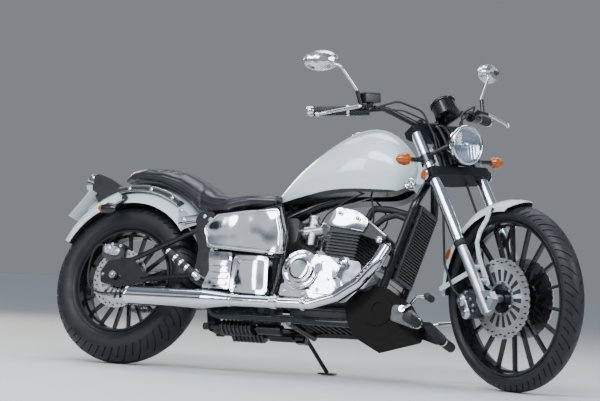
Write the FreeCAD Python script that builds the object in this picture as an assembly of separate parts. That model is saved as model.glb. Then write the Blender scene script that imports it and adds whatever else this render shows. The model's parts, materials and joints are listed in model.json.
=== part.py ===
import FreeCAD, Part
import math
import os

# Cruiser motorcycle, parked on its side stand with the steering turned to its right.
# The machine is drawn upright: X forward, Y to its left, Z up, origin on the ground
# under the rear axle. It is leaned onto its stand at the end. Millimetres throughout.

# Stance
WHEELBASE = 1633.0
LEAN = 15.0
STEER_ANGLE = 33.0
RAKE = 29.0
FORK_OFFSET = 47.0
SEAT_GAP = 0.3

# Wheels and tyres
REAR_TYRE_RADIUS = 325.0
REAR_TYRE_HALF = 80.0
REAR_TYRE_CROWN = 76.0
REAR_TYRE_HEIGHT = 117.0
REAR_RIM_HALF = 56.0
FRONT_TYRE_RADIUS = 336.0
FRONT_TYRE_HALF = 46.0
FRONT_TYRE_CROWN = 44.0
FRONT_TYRE_HEIGHT = 58.0
FRONT_RIM_HALF = 36.0
RIM_WALL = 8.0
SPOKES = 18
SPOKE_WIDTH = 11.0
SPOKE_DEPTH = 16.0
FRONT_HUB_RADIUS = 34.0
FRONT_HUB_HALF = 58.0
REAR_HUB_RADIUS = 48.0
REAR_HUB_HALF = 78.0
AXLE_RADIUS = 10.0
AXLE_CLEARANCE = 0.05
AXLE_BORE = 6.0
AXLE_BORE_DEPTH = 36.0
WHEEL_GAP = 1.0
REAR_RIM_RADIUS = REAR_TYRE_RADIUS - REAR_TYRE_HEIGHT
FRONT_RIM_RADIUS = FRONT_TYRE_RADIUS - FRONT_TYRE_HEIGHT
AXLE_Z = REAR_TYRE_RADIUS

# Brakes
FRONT_DISC_RADIUS = 145.0
FRONT_DISC_SIDE = 62.0
FRONT_CARRIER_RADIUS = 52.0
REAR_DISC_RADIUS = 120.0
REAR_DISC_SIDE = -84.0
REAR_CARRIER_RADIUS = 42.0
DISC_THICKNESS = 5.0
DISC_SLOTS = 18
DISC_PETALS = 36
PAD_GAP = 5.0

# Fork and steering, in the fork's own frame: X ahead, Y left, Z up along the legs
LEG_SIDE = 114.0
LEG_AHEAD = -33.0
LEG_UPPER_RADIUS = 22.0
LEG_LOWER_RADIUS = 18.5
LEG_BOTTOM = -42.0
LEG_STEP = 245.0
LEG_TOP = 760.0
LOWER_YOKE = 530.0
LOWER_YOKE_THICK = 38.0
UPPER_YOKE = 734.0
UPPER_YOKE_THICK = 24.0
HEAD_TUBE_RADIUS = 29.0
STEM_RADIUS = 14.0
HEADLIGHT_AHEAD = 80.0
HEADLIGHT_UP = 611.0
HEADLIGHT_RADIUS = 74.0
HEADLIGHT_DEPTH = 72.0
SPEEDOMETER_RADIUS = 46.0
BAR_RADIUS = 12.7
BAR_AHEAD = -66.0
BAR_UP = 800.0
GRIP_RADIUS = 17.0
GRIP_START = 42.0
MIRROR_SIDE = 417.0
MIRROR_UP = 1066.0
MIRROR_TURN = 22.0
NECK_LOW = LOWER_YOKE + LOWER_YOKE_THICK + SEAT_GAP
NECK_HIGH = UPPER_YOKE - SEAT_GAP

# Frame
TUBE_RADIUS = 15.5
BACKBONE_RADIUS = 27.0
FRAME_SIDE = 100.0
DOWNTUBE_SIDE = 97.0
GUSSET_HALF = 30.0
RAIL_HEIGHT = 190.0
RAIL_SIDE = 119.5
POST_SIDE = 124.0
POST_RADIUS = 13.0
PLATE = 8.0
SEAT_RAIL_SIDE = 114.0
SEAT_RAIL_RADIUS = 11.0
CROSS_RADIUS = 12.0
CROSS_Z = RAIL_HEIGHT - TUBE_RADIUS
MID_RAIL_Z = 424.0
MID_RAIL_RADIUS = 9.0
BACKBONE = [(1170, 768), (1020, 742), (790, 672), (668, 612)]
PIVOT_X = 378.0
PIVOT_Z = 345.0
PIVOT_BOLT = 8.0
SWINGARM_SIDE = 118.0
SWINGARM_TUBE = 10.0
AXLE_PLATE = 10.0
STRUT_TOP = (332.0, 522.0)
SHOCK_X = 418.0
SHOCK_Z = 158.0
SHOCK_SIDE = 55.0
SHOCK_FRONT = 775.0

# Body work
TANK_HALF = 132.0
FENDER_SHEET = 3.0
REAR_FENDER_HALF = 102.0
REAR_FENDER_X = 33.0
REAR_FENDER_Z = 350.0
REAR_FENDER_GAP = 59.0
REAR_FENDER_DEPTH = 112.0
REAR_FENDER_EDGE = 306.0
STRAP_THICK = 8.0
FRONT_FENDER_HALF = 62.0
FRONT_FENDER_GAP = 19.0
FRONT_FENDER_DEPTH = 44.0
FENDER_NOSE = 98.0
FENDER_NOSE_ANGLE = 62.0
COVER_SIDE = 158.0
PANEL_BULGE = 260.0
RADIATOR_HALF = DOWNTUBE_SIDE - TUBE_RADIUS - 2.0
RADIATOR_SLITS = 26
PAN_WALL = 4.0
REAR_FENDER_RADIUS = REAR_TYRE_RADIUS + REAR_FENDER_GAP
FRONT_FENDER_RADIUS = FRONT_TYRE_RADIUS + FRONT_FENDER_GAP
FENDER_ARCH = [
    # share of the half width, share of the depth below the crown
    (1.0, 1.0), (1.0, 0.74), (0.94, 0.54), (0.78, 0.33), (0.55, 0.155), (0.3, 0.045), (0.0, 0.0),
]

TANK_SECTIONS = [
    # x, half, low, high, shoulder, roof
    (606, 12, 662, 690, 0.6, 0.7),
    (656, 52, 655, 744, 0.6, 0.8),
    (750, 94, 665, 838, 0.65, 0.85),
    (860, 123, 688, 922, 0.7, 0.85),
    (980, TANK_HALF, 702, 976, 0.7, 0.85),
    (1070, 124, 703, 957, 0.7, 0.85),
    (1142, 92, 722, 894, 0.7, 0.82),
    (1186, 46, 780, 838, 0.7, 0.8),
]

SEAT_SECTIONS = [
    # x, half, low, high, shoulder, roof
    (-64, 70, 716, 744, 0.9, 0.8),
    (-30, 96, 704, 782, 0.9, 0.85),
    (34, 112, 700, 794, 0.9, 0.85),
    (130, 118, 696, 794, 0.9, 0.85),
    (221, 120, 668, 776, 0.9, 0.85),
    (304, 126, 614, 738, 0.9, 0.85),
    (388, 140, 596, 688, 0.9, 0.88),
    (460, 150, 600, 670, 0.9, 0.9),
    (548, 150, 622, 684, 0.9, 0.9),
    (650, 104, 638, 700, 0.9, 0.9),
]

# Engine
CASE_RIGHT = -118.0
CASE_LEFT = 84.0
CYLINDER_TILT = 5.0
CYLINDER_X = 955.0
CYLINDER_Z = 430.0
FIN_COUNT = 9
FIN_PITCH = 12.0
FIN_THICK = 4.0
HEAD_HALF = 98.0
HEAD_COVER_HALF = 107.0
PORT_SIDE = 62.0
CLUTCH_X = 823.0
CLUTCH_Z = 374.0
CLUTCH_RADIUS = 74.0

# Exhaust
EXHAUST_SIDE = -190.0
EXHAUST_Z = 232.0
EXHAUST_CLAMPS = (765.0, 880.0)
MUFFLER_RADIUS = 36.5
MUFFLER_TAIL = 121.0
MUFFLER_SHOULDER = 462.0
MUFFLER_TAPER = 575.0
MUFFLER_JOINT = 752.0
PIPE_RADIUS = 19.0

# Drive chain
CHAIN_SIDE = 95.0
CHAIN_HALF = 6.5
REAR_SPROCKET_RADIUS = 88.0
FRONT_SPROCKET_RADIUS = 34.0
FRONT_SPROCKET_X = 760.0
FRONT_SPROCKET_Z = 345.0

# Side stand
STAND_X = 735.0
STAND_SIDE = 160.0
STAND_Z = 185.0
STAND_FOOT_X = 815.0
STAND_FOOT_SIDE = 235.0
STAND_PIN_RADIUS = 7.0
STAND_FOLD = 120.0

X, Y, Z = FreeCAD.Vector(1, 0, 0), FreeCAD.Vector(0, 1, 0), FreeCAD.Vector(0, 0, 1)
ORIGIN = FreeCAD.Vector(0, 0, 0)


# Small drawing helpers

def vec(x, y, z):
    return FreeCAD.Vector(x, y, z)


def box(x, y, z):
    """A box from three (low, high) pairs."""
    return Part.makeBox(x[1] - x[0], y[1] - y[0], z[1] - z[0], vec(x[0], y[0], z[0]))


def rod(start, end, radius):
    """A round bar between two points."""
    return Part.makeCylinder(radius, (end - start).Length, start, end - start)


def disc_y(x, z, y, radius):
    """A round boss whose axis runs across the machine, between two Y values."""
    return Part.makeCylinder(radius, y[1] - y[0], vec(x, y[0], z), Y)


def rounded_wire(points, radius):
    """A closed wire through points, every corner rounded by a tangent arc."""
    edges, count = [], len(points)
    ends = []
    for i, corner in enumerate(points):
        before, after = points[i - 1], points[(i + 1) % count]
        to_before, to_after = (before - corner), (after - corner)
        half = to_before.getAngle(to_after) / 2
        cut = min(radius / math.tan(half), 0.45 * to_before.Length, 0.45 * to_after.Length)
        a = corner + to_before.normalize() * cut
        b = corner + to_after.normalize() * cut
        bisector = (to_before + to_after).normalize()
        reach = cut / math.cos(half)
        middle = corner + bisector * (reach - cut * math.tan(half))
        ends.append((a, middle, b))
    for i, (a, middle, b) in enumerate(ends):
        edges.append(Part.Arc(a, middle, b).toShape())
        edges.append(Part.LineSegment(b, ends[(i + 1) % count][0]).toShape())
    return Part.Wire(edges)


def side_plate(outline, y, radius=6.0):
    """A plate from an outline of (x, z) points, between two Y values, with rounded corners."""
    wire = rounded_wire([vec(px, y[0], pz) for px, pz in outline], radius)
    return Part.Face(wire).extrude(vec(0, y[1] - y[0], 0))


def pipe(points, radius, bend):
    """A round tube or bar through points, straight runs joined by tangent arcs."""
    edges, start = [], points[0]
    for i in range(1, len(points) - 1):
        corner = points[i]
        back, ahead = points[i - 1] - corner, points[i + 1] - corner
        half = back.getAngle(ahead) / 2
        cut = min(bend / math.tan(half), 0.45 * back.Length, 0.45 * ahead.Length)
        a = corner + back.normalize() * cut
        b = corner + ahead.normalize() * cut
        middle = corner + (back + ahead).normalize() * (cut / math.cos(half) - cut * math.tan(half))
        edges.append(Part.LineSegment(start, a).toShape())
        edges.append(Part.Arc(a, middle, b).toShape())
        start = b
    edges.append(Part.LineSegment(start, points[-1]).toShape())
    path = Part.Wire(edges)
    direction = points[1] - points[0]
    circle = Part.Wire(Part.makeCircle(radius, points[0], direction))
    return path.makePipeShell([circle], True, True)


def mirrored(shape):
    """The same shape on the other side of the machine."""
    return shape.mirror(ORIGIN, Y)


def both_sides(shape):
    return [shape, mirrored(shape)]


def fused(shapes):
    result = shapes[0]
    if len(shapes) > 1:
        result = result.fuse(list(shapes[1:]))
    return result.removeSplitter()


def main_solid(shape):
    """The largest solid that a cut leaves."""
    return max(shape.Solids, key=lambda solid: solid.Volume)


def lathe_y(profile, angle=360.0, start=0.0, centre=ORIGIN):
    """Turn a closed (radius, y) profile about an axis that runs across the machine."""
    points = [vec(r, y, 0) for r, y in profile]
    wire = Part.makePolygon(points + [points[0]])
    solid = Part.Face(wire).revolve(ORIGIN, vec(0, -1, 0), angle)
    solid.rotate(ORIGIN, vec(0, -1, 0), start)
    solid.translate(centre)
    return solid


def barrel_section(x, half, low, high, shoulder, roof):
    """A body section across X: flat floor, arched sides and roof. Columns as in the tables."""
    floor = half * shoulder
    side_low, side_high = vec(x, -floor, low), vec(x, -half * roof, high - (high - low) * 0.22)
    middle = vec(x, -half, low + (high - low) * 0.45)
    top = vec(x, 0, high)

    def flip(p):
        return vec(p.x, -p.y, p.z)
    edges = [
        Part.LineSegment(flip(side_low), side_low).toShape(),
        Part.Arc(side_low, middle, side_high).toShape(),
        Part.Arc(side_high, top, flip(side_high)).toShape(),
        Part.Arc(flip(side_high), flip(middle), flip(side_low)).toShape(),
    ]
    return Part.Wire(edges)


def strip(points, half, y, radius=12.0):
    """A flat bar of constant width that follows (x, z) points, between two Y values."""
    upper, lower = [], []
    for i, (px, pz) in enumerate(points):
        before, after = points[max(i - 1, 0)], points[min(i + 1, len(points) - 1)]
        dx, dz = after[0] - before[0], after[1] - before[1]
        length = math.hypot(dx, dz)
        upper.append((px - dz / length * half, pz + dx / length * half))
        lower.append((px + dz / length * half, pz - dx / length * half))
    return side_plate(upper + lower[::-1], y, radius)


# Wheels

def tyre(radius, half, crown, rim_radius, rim_half):
    """A tyre as a closed ring: arched tread, round side walls, open towards the rim."""
    bead = rim_half - 5
    edge = vec(radius - crown * 0.62, half - 2, 0)
    side = vec((radius + rim_radius) / 2 - 12, half, 0)
    lip = vec(rim_radius + SEAT_GAP, bead, 0)

    def flip(p):
        return vec(p.x, -p.y, 0)
    tread = Part.Arc(edge, vec(radius, 0, 0), flip(edge)).toShape()
    edges = [
        Part.Arc(lip, side, edge).toShape(),
        tread,
        Part.Arc(flip(edge), flip(side), flip(lip)).toShape(),
        Part.LineSegment(flip(lip), lip).toShape(),
    ]
    return Part.Face(Part.Wire(edges)).revolve(ORIGIN, Y, 360)


def spoked_rim(radius, half, hub_radius, hub_half):
    """A cast wheel: rim, hub with its axle bore, and a ring of thin spokes in one casting."""
    inner = radius - RIM_WALL
    well = inner - 10
    rim = lathe_y([
        (radius, -half), (radius, half), (inner, half), (inner - 4, half * 0.6),
        (well, half * 0.35), (well, -half * 0.35), (inner - 4, -half * 0.6), (inner, -half)])
    hub = disc_y(0, 0, (-hub_half, hub_half), hub_radius)
    spokes = []
    for i in range(SPOKES):
        spoke = box((hub_radius - 3, well + 2), (-SPOKE_DEPTH / 2, SPOKE_DEPTH / 2),
                    (-SPOKE_WIDTH / 2, SPOKE_WIDTH / 2))
        spoke.rotate(ORIGIN, Y, 360.0 * i / SPOKES)
        spokes.append(spoke)
    wheel = fused([rim, hub] + spokes)
    bore = disc_y(0, 0, (-hub_half - 1, hub_half + 1), AXLE_RADIUS + AXLE_CLEARANCE)
    return wheel.cut(bore)


def brake_disc(radius, side, carrier_radius):
    """A brake disc with a slotted face; side is its middle plane in Y."""
    span = (side - DISC_THICKNESS / 2, side + DISC_THICKNESS / 2)
    outline = []
    for i in range(DISC_PETALS):
        for share, dip in ((0.0, 0.0), (0.35, 0.0), (0.55, 3.0), (0.8, 3.0)):
            turn = 2 * math.pi * (i + share) / DISC_PETALS
            outline.append(vec((radius - dip) * math.cos(turn), span[0],
                               (radius - dip) * math.sin(turn)))
    disc = Part.Face(Part.makePolygon(outline + [outline[0]])).extrude(vec(0, DISC_THICKNESS, 0))
    disc = disc.cut(disc_y(0, 0, (span[0] - 1, span[1] + 1), carrier_radius))
    slots = []
    for i in range(DISC_SLOTS):
        slot = box((carrier_radius + 9, radius * 0.7), (span[0] - 1, span[1] + 1), (-4.5, 4.5))
        slot.rotate(ORIGIN, Y, 360.0 * i / DISC_SLOTS)
        slots.append(slot)
    return disc.cut(slots)


def front_wheel_nodes():
    rim = spoked_rim(FRONT_RIM_RADIUS, FRONT_RIM_HALF, FRONT_HUB_RADIUS, FRONT_HUB_HALF)
    flange = disc_ring(FRONT_HUB_HALF - 6, FRONT_DISC_SIDE, FRONT_CARRIER_RADIUS + 7)
    rim = fused([rim] + both_sides(flange))
    disc = brake_disc(FRONT_DISC_RADIUS, -FRONT_DISC_SIDE, FRONT_CARRIER_RADIUS)
    return {
        "front_rim": rim,
        "front_tyre": tyre(FRONT_TYRE_RADIUS, FRONT_TYRE_HALF, FRONT_TYRE_CROWN,
                           FRONT_RIM_RADIUS, FRONT_RIM_HALF),
        "front_discs": Part.makeCompound(both_sides(disc)),
    }


def disc_ring(low, disc_side, radius):
    """The hub flange that a brake disc bolts to."""
    top = disc_side - DISC_THICKNESS / 2
    ring = disc_y(0, 0, (low, top), radius)
    return ring.cut(disc_y(0, 0, (low - 1, top + 1), AXLE_RADIUS + 4))


def rear_wheel_nodes():
    rim = spoked_rim(REAR_RIM_RADIUS, REAR_RIM_HALF, REAR_HUB_RADIUS, REAR_HUB_HALF)
    flange = disc_y(0, 0, (REAR_DISC_SIDE + DISC_THICKNESS / 2, -REAR_HUB_HALF + 1),
                    REAR_CARRIER_RADIUS + 6)
    flange = flange.cut(disc_y(0, 0, (-200, 200), AXLE_RADIUS + 4))
    rim = fused([rim, flange])
    teeth = 42
    outline = []
    for i in range(teeth):
        for share, r in ((0.0, -5), (0.3, 4), (0.6, 4), (0.9, -5)):
            turn = 2 * math.pi * (i + share) / teeth
            outline.append((r + REAR_SPROCKET_RADIUS - 12, turn))
    ring = [vec(r * math.cos(a), CHAIN_SIDE - 3, r * math.sin(a)) for r, a in outline]
    sprocket = Part.Face(Part.makePolygon(ring + [ring[0]])).extrude(vec(0, 6, 0))
    carrier = disc_y(0, 0, (REAR_HUB_HALF, CHAIN_SIDE - 3), 44)
    sprocket = fused([sprocket, carrier])
    sprocket = sprocket.cut(disc_y(0, 0, (0, 200), AXLE_RADIUS + 4))
    return {
        "rear_rim": rim,
        "rear_tyre": tyre(REAR_TYRE_RADIUS, REAR_TYRE_HALF, REAR_TYRE_CROWN,
                          REAR_RIM_RADIUS, REAR_RIM_HALF),
        "rear_disc": brake_disc(REAR_DISC_RADIUS, REAR_DISC_SIDE, REAR_CARRIER_RADIUS),
        "rear_sprocket": sprocket,
    }


# Frame

def axis_point(up, ahead=0.0):
    """A point on the steering axis, or ahead of it, in the upright machine's frame."""
    rake = math.radians(RAKE)
    offset = FORK_OFFSET - ahead
    base_x = WHEELBASE - math.cos(rake) * offset
    base_z = FRONT_TYRE_RADIUS - math.sin(rake) * offset
    return vec(base_x - math.sin(rake) * up, 0, base_z + math.cos(rake) * up)


def frame_neck():
    """The head tube with its gusset box, bored for the steering stem."""
    low, high = axis_point(NECK_LOW), axis_point(NECK_HIGH)
    tube = rod(low, high, HEAD_TUBE_RADIUS)
    upper = axis_point(NECK_HIGH - 30)
    front, back = axis_point(NECK_LOW + 3), axis_point(NECK_LOW + 3, -60)
    gusset = side_plate([(upper.x, upper.z), (front.x, front.z), (back.x, back.z),
                         (1165, 735), (1150, 800)], (-GUSSET_HALF, GUSSET_HALF), 8)
    middle = (low + high) / 2
    bore = rod(low * 2 - middle, high * 2 - middle, STEM_RADIUS + AXLE_CLEARANCE)
    return fused([tube, gusset]).cut(bore)


def frame_backbone(radius=BACKBONE_RADIUS):
    return pipe([vec(px, 0, pz) for px, pz in BACKBONE], radius, 150)


def frame_downtube():
    side = DOWNTUBE_SIDE
    points = [vec(1238, -30, 768), vec(1226, -side, 664), vec(1144, -side, 330),
              vec(1062, -side, RAIL_HEIGHT), vec(900, -FRAME_SIDE, RAIL_HEIGHT)]
    return pipe(points, TUBE_RADIUS, 80)


def frame_lower_rail():
    points = [vec(900, -FRAME_SIDE, RAIL_HEIGHT), vec(720, -RAIL_SIDE, RAIL_HEIGHT),
              vec(480, -RAIL_SIDE, RAIL_HEIGHT), vec(412, -RAIL_SIDE, 250),
              vec(412, -RAIL_SIDE, 330)]
    return pipe(points, TUBE_RADIUS, 60)


def frame_pivot_plate():
    outline = [(350, 322), (392, 296), (452, 296), (446, 400), (428, 470), (414, 592), (350, 592),
               (334, 560), (364, 470), (376, 400)]
    return side_plate(outline, (-RAIL_SIDE - TUBE_RADIUS - PLATE, -RAIL_SIDE - TUBE_RADIUS + 3), 16)


def frame_side_post():
    points = [vec(688, -POST_SIDE, 618), vec(728, -POST_SIDE, 520), vec(728, -POST_SIDE, 340),
              vec(700, -POST_SIDE, RAIL_HEIGHT + TUBE_RADIUS - 4)]
    return pipe(points, POST_RADIUS, 160)


def frame_seat_rail():
    points = [vec(352, -SEAT_RAIL_SIDE, 574), vec(520, -SEAT_RAIL_SIDE, 586),
              vec(692, -SEAT_RAIL_SIDE - 4, 628)]
    return pipe(points, SEAT_RAIL_RADIUS, 200)


def frame_cradle():
    """Both lower rails with the swingarm's pivot plates and a cross tube, welded up."""
    cross = disc_y(SHOCK_FRONT + 18, CROSS_Z, (-RAIL_SIDE, RAIL_SIDE), CROSS_RADIUS)
    parts = both_sides(frame_lower_rail()) + both_sides(frame_pivot_plate()) + [cross]
    return fused(parts).cut(disc_y(PIVOT_X, PIVOT_Z, (-200, 200), PIVOT_BOLT))


def frame_mid_rail():
    """The rail from the pivot plate to the side post that the covers hang on."""
    return rod(vec(436, -RAIL_SIDE - TUBE_RADIUS + 2, MID_RAIL_Z), vec(728, -POST_SIDE, MID_RAIL_Z),
               MID_RAIL_RADIUS)


def frame_seat_posts():
    """The side posts, seat rails and cover rails, joined across at the seat's nose."""
    nose = disc_y(640, 612, (-SEAT_RAIL_SIDE, SEAT_RAIL_SIDE), CROSS_RADIUS)
    tubes = [frame_side_post(), frame_seat_rail(), frame_mid_rail()]
    return fused([side for tube in tubes for side in both_sides(tube)] + [nose])


def frame_nodes():
    downtube = frame_downtube()
    cradle = frame_cradle().cut(both_sides(downtube))
    posts = frame_seat_posts().cut(cradle)
    neck = frame_neck().cut(both_sides(downtube))
    backbone = frame_backbone().cut([neck, posts])
    return {
        "frame_neck": neck,
        "frame_backbone": backbone,
        "frame_downtubes": Part.makeCompound(both_sides(downtube)),
        "frame_cradle": cradle,
        "frame_seat_posts": posts,
    }


# Rear end

def rear_axle():
    """The fixed rear axle with its spacers and end nuts; the wheel turns on it."""
    reach = SWINGARM_SIDE + AXLE_PLATE + 14
    axle = disc_y(0, AXLE_Z, (-reach, reach), AXLE_RADIUS)
    nut = disc_y(0, AXLE_Z, (SWINGARM_SIDE + AXLE_PLATE, reach - 2), 15)
    left = disc_y(0, AXLE_Z, (CHAIN_SIDE + 3 + WHEEL_GAP, SWINGARM_SIDE), 15)
    right = disc_y(0, AXLE_Z, (-SWINGARM_SIDE, -REAR_HUB_HALF - 6 - WHEEL_GAP), 15)
    return fused([axle, left, right] + both_sides(nut))


def swingarm():
    """A triangulated rear fork: axle plates, lower arms, upper struts, front webs, cross tubes."""
    inner, outer = SWINGARM_SIDE - 8, SWINGARM_SIDE + AXLE_PLATE - 8
    middle = (inner + outer) / 2
    plate = side_plate([(64, 404), (-44, 384), (-70, 340), (-60, 296), (20, 282), (146, 302), (146, 330)],
                       (-outer, -inner), 14)
    lower = rod(vec(120, -middle, 315), vec(PIVOT_X, -middle, PIVOT_Z), SWINGARM_TUBE)
    strut = rod(vec(60, -middle, 392), vec(STRUT_TOP[0], -middle, STRUT_TOP[1]), SWINGARM_TUBE)
    web = side_plate([(PIVOT_X - 22, PIVOT_Z - 10), (PIVOT_X + 16, PIVOT_Z - 10),
                      (PIVOT_X + 14, 470), (345, 540), (318, 530), (356, 450)],
                     (-outer, -inner), 12)
    side = fused([plate, lower, strut, web])
    tube = disc_y(PIVOT_X, PIVOT_Z, (-outer, outer), 22)
    upper = disc_y(STRUT_TOP[0] + 12, STRUT_TOP[1], (-outer, outer), 12)
    lug = side_plate([(PIVOT_X - 20, PIVOT_Z), (PIVOT_X + 20, PIVOT_Z), (SHOCK_X + 18, SHOCK_Z),
                      (SHOCK_X, SHOCK_Z - 16), (SHOCK_X - 16, SHOCK_Z)], (-24, 24), 10)
    arm = fused(both_sides(side) + [tube, upper, lug])
    arm = arm.cut(disc_y(0, AXLE_Z, (-200, 200), AXLE_RADIUS))
    return arm.cut(disc_y(PIVOT_X, PIVOT_Z, (-200, 200), PIVOT_BOLT))


def pivot_bolt():
    reach = RAIL_SIDE + TUBE_RADIUS + PLATE
    bolt = disc_y(PIVOT_X, PIVOT_Z, (-reach - 8, reach + 8), PIVOT_BOLT)
    head = disc_y(PIVOT_X, PIVOT_Z, (reach, reach + 8), 13)
    return fused([bolt] + both_sides(head))


def under_shocks():
    """Two spring units lying under the engine, pulled by the swingarm's lug."""
    pin = disc_y(SHOCK_X, SHOCK_Z, (-SHOCK_SIDE - 14, SHOCK_SIDE + 14), 8)
    parts = [pin]
    for side in (-SHOCK_SIDE, SHOCK_SIDE):
        parts.append(rod(vec(SHOCK_X, side, SHOCK_Z), vec(SHOCK_FRONT, side, SHOCK_Z), 9))
        parts.append(rod(vec(480, side, SHOCK_Z), vec(620, side, SHOCK_Z), 24))
        parts.append(rod(vec(SHOCK_X - 14, side, SHOCK_Z), vec(SHOCK_X + 14, side, SHOCK_Z), 14))
        parts.append(rod(vec(640, side, SHOCK_Z), vec(740, side, SHOCK_Z), 20))
    return fused(parts)


def chain_loop(offset):
    """The outline around both sprockets, grown by an offset from the chain's centre line."""
    rear, front = REAR_SPROCKET_RADIUS + offset, FRONT_SPROCKET_RADIUS + offset
    dx, dz = FRONT_SPROCKET_X, FRONT_SPROCKET_Z - AXLE_Z
    distance = math.hypot(dx, dz)
    base = math.atan2(dz, dx)
    swing = math.acos((rear - front) / distance)

    def at(cx, cz, r, a):
        return vec(cx + r * math.cos(a), 0, cz + r * math.sin(a))
    r_top, r_low = at(0, AXLE_Z, rear, base + swing), at(0, AXLE_Z, rear, base - swing)
    f_top = at(FRONT_SPROCKET_X, FRONT_SPROCKET_Z, front, base + swing)
    f_low = at(FRONT_SPROCKET_X, FRONT_SPROCKET_Z, front, base - swing)
    r_back = at(0, AXLE_Z, rear, base + math.pi)
    f_nose = at(FRONT_SPROCKET_X, FRONT_SPROCKET_Z, front, base)
    wire = Part.Wire([
        Part.LineSegment(r_top, f_top).toShape(), Part.Arc(f_top, f_nose, f_low).toShape(),
        Part.LineSegment(f_low, r_low).toShape(), Part.Arc(r_low, r_back, r_top).toShape()])
    return Part.Face(wire)


def drive_chain():
    """The chain as one fixed loop: rollers between two rows of side plates."""
    def band(outside, inside, low, high):
        solid = chain_loop(outside).extrude(vec(0, high - low, 0))
        hole = chain_loop(inside).extrude(vec(0, high - low, 0))
        ring = solid.cut(hole)
        ring.translate(vec(0, low, 0))
        return ring
    rows = [(CHAIN_SIDE - CHAIN_HALF, CHAIN_SIDE - 4), (CHAIN_SIDE + 4, CHAIN_SIDE + CHAIN_HALF)]
    plates = [band(7, -7, low, high) for low, high in rows]
    rollers = band(4.5, 1.5, CHAIN_SIDE - 4, CHAIN_SIDE + 4)
    return fused(plates + [rollers])


def rear_caliper():
    """A caliper astride the rear disc, with its carrier on the axle plate."""
    body = side_plate([(-91, 446), (-63, 461), (7, 463), (7, 400), (-37, 384), (-82, 404)],
                      (REAR_DISC_SIDE - 24, REAR_DISC_SIDE + 20), 10)
    seat = -SWINGARM_SIDE + 8 + SEAT_GAP
    carrier = side_plate([(-50, 440), (-50, 346), (4, 346), (4, 446)], (seat, seat + 7), 8)
    pins = [disc_y(x, 440, (REAR_DISC_SIDE - 30, REAR_DISC_SIDE - 24), 7) for x in (-66, -14)]
    slot = disc_y(0, AXLE_Z, (REAR_DISC_SIDE - DISC_THICKNESS / 2 - PAD_GAP,
                              REAR_DISC_SIDE + DISC_THICKNESS / 2 + PAD_GAP),
                  REAR_DISC_RADIUS + 5)
    return fused([body.cut(slot), carrier] + pins)


def rear_fender_nodes():
    crown, half, sheet = REAR_FENDER_RADIUS, REAR_FENDER_HALF, FENDER_SHEET
    centre = vec(REAR_FENDER_X, 0, REAR_FENDER_Z)
    outer = lathe_y(channel(crown, REAR_FENDER_DEPTH, half), 121, 38, centre)
    inner = lathe_y(channel(crown - sheet, REAR_FENDER_DEPTH + 6, half - sheet), 130, 34, centre)
    trim = disc_y(15, AXLE_Z + 4, (-half - 5, half + 5), REAR_FENDER_EDGE)
    fender = outer.cut(inner).cut(trim)
    band = sector(REAR_FENDER_X, REAR_FENDER_Z, crown - 52, crown - 28, (56, 106),
                  (-half - STRAP_THICK, -half + 26))
    return {
        "rear_fender": fender,
        "rear_fender_straps": Part.makeCompound(both_sides(band.cut([outer, inner]))),
    }


def channel(crown, depth, half, deeper=0.0):
    """A fender's (radius, y) section: straight skirts under a faceted arch."""
    side = [(crown - depth * drop, half * share) for share, drop in FENDER_ARCH]
    side[0] = (side[0][0] - deeper, half)
    return [(r, -y) for r, y in side] + [(r, y) for r, y in reversed(side[:-1])]


def sector(x, z, inner, outer, angles, y):
    """A ring sector across the machine: angles in degrees up from straight ahead."""
    ring = disc_y(x, z, y, outer).cut(disc_y(x, z, (y[0] - 1, y[1] + 1), inner))
    middle = math.radians(sum(angles) / 2)
    spread = math.radians((angles[1] - angles[0]) / 2)
    far = outer / math.cos(spread) + 5
    corners = [vec(x, y[0] - 1, z)]
    for a in (middle - spread, middle + spread):
        corners.append(vec(x + far * math.cos(a), y[0] - 1, z + far * math.sin(a)))
    wedge = Part.Face(Part.makePolygon(corners + [corners[0]]))
    return ring.common(wedge.extrude(vec(0, y[1] - y[0] + 2, 0)))


def fender_bracket(fender):
    """The bright bracket that joins the rear fender to the seat rail."""
    outer = SEAT_RAIL_SIDE + SEAT_RAIL_RADIUS
    plate = side_plate([(238, 602), (258, 610), (293, 562), (366, 588), (390, 578), (386, 560),
                        (286, 524), (268, 530)], (-outer - 6, -outer), 7)
    bolts = [(252, 597), (280, 540), (374, 573)]
    bosses = [disc_y(x, z, (-outer - 10, -outer - 5), 7) for x, z in bolts]
    spacer = disc_y(252, 597, (-outer - 2, -half_at_arch(0.84)), 9).cut(fender)
    return fused([plate, spacer] + bosses)


def half_at_arch(share):
    return REAR_FENDER_HALF * share


# Engine

def crankcase():
    """The crankcase with its output sprocket and the lugs that hang it in the frame."""
    outline = [(748, 268), (1010, 262), (1062, 320), (1050, 420), (1010, 425), (880, 440),
               (748, 440)]
    case = side_plate(outline, (CASE_RIGHT, CASE_LEFT), 22)
    shaft = disc_y(FRONT_SPROCKET_X, FRONT_SPROCKET_Z, (CASE_LEFT, CHAIN_SIDE - 3), 16)
    sprocket = disc_y(FRONT_SPROCKET_X, FRONT_SPROCKET_Z, (CHAIN_SIDE - 3, CHAIN_SIDE + 3),
                      FRONT_SPROCKET_RADIUS + 1.5 - SEAT_GAP)
    lug = side_plate([(1050, 326), (1050, 364), (1146, 364), (1136, 330)],
                     (-FRAME_SIDE - 3, FRAME_SIDE + 3), 6)
    mount = side_plate([(1030, 352), (1100, 372), (1130, 364), (1126, 338), (1076, 316),
                        (1050, 316)], (CASE_RIGHT - 4, CASE_RIGHT + 8), 8)
    starter = disc_y(982, 410, (CASE_RIGHT, CASE_RIGHT + 30), 27)
    cap = disc_y(982, 410, (CASE_RIGHT - 14, CASE_RIGHT), 21)
    pump = disc_y(1030, 336, (CASE_RIGHT - 12, CASE_RIGHT + 4), 20)
    return fused([case, shaft, sprocket, lug, mount, starter, cap, pump])


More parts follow.
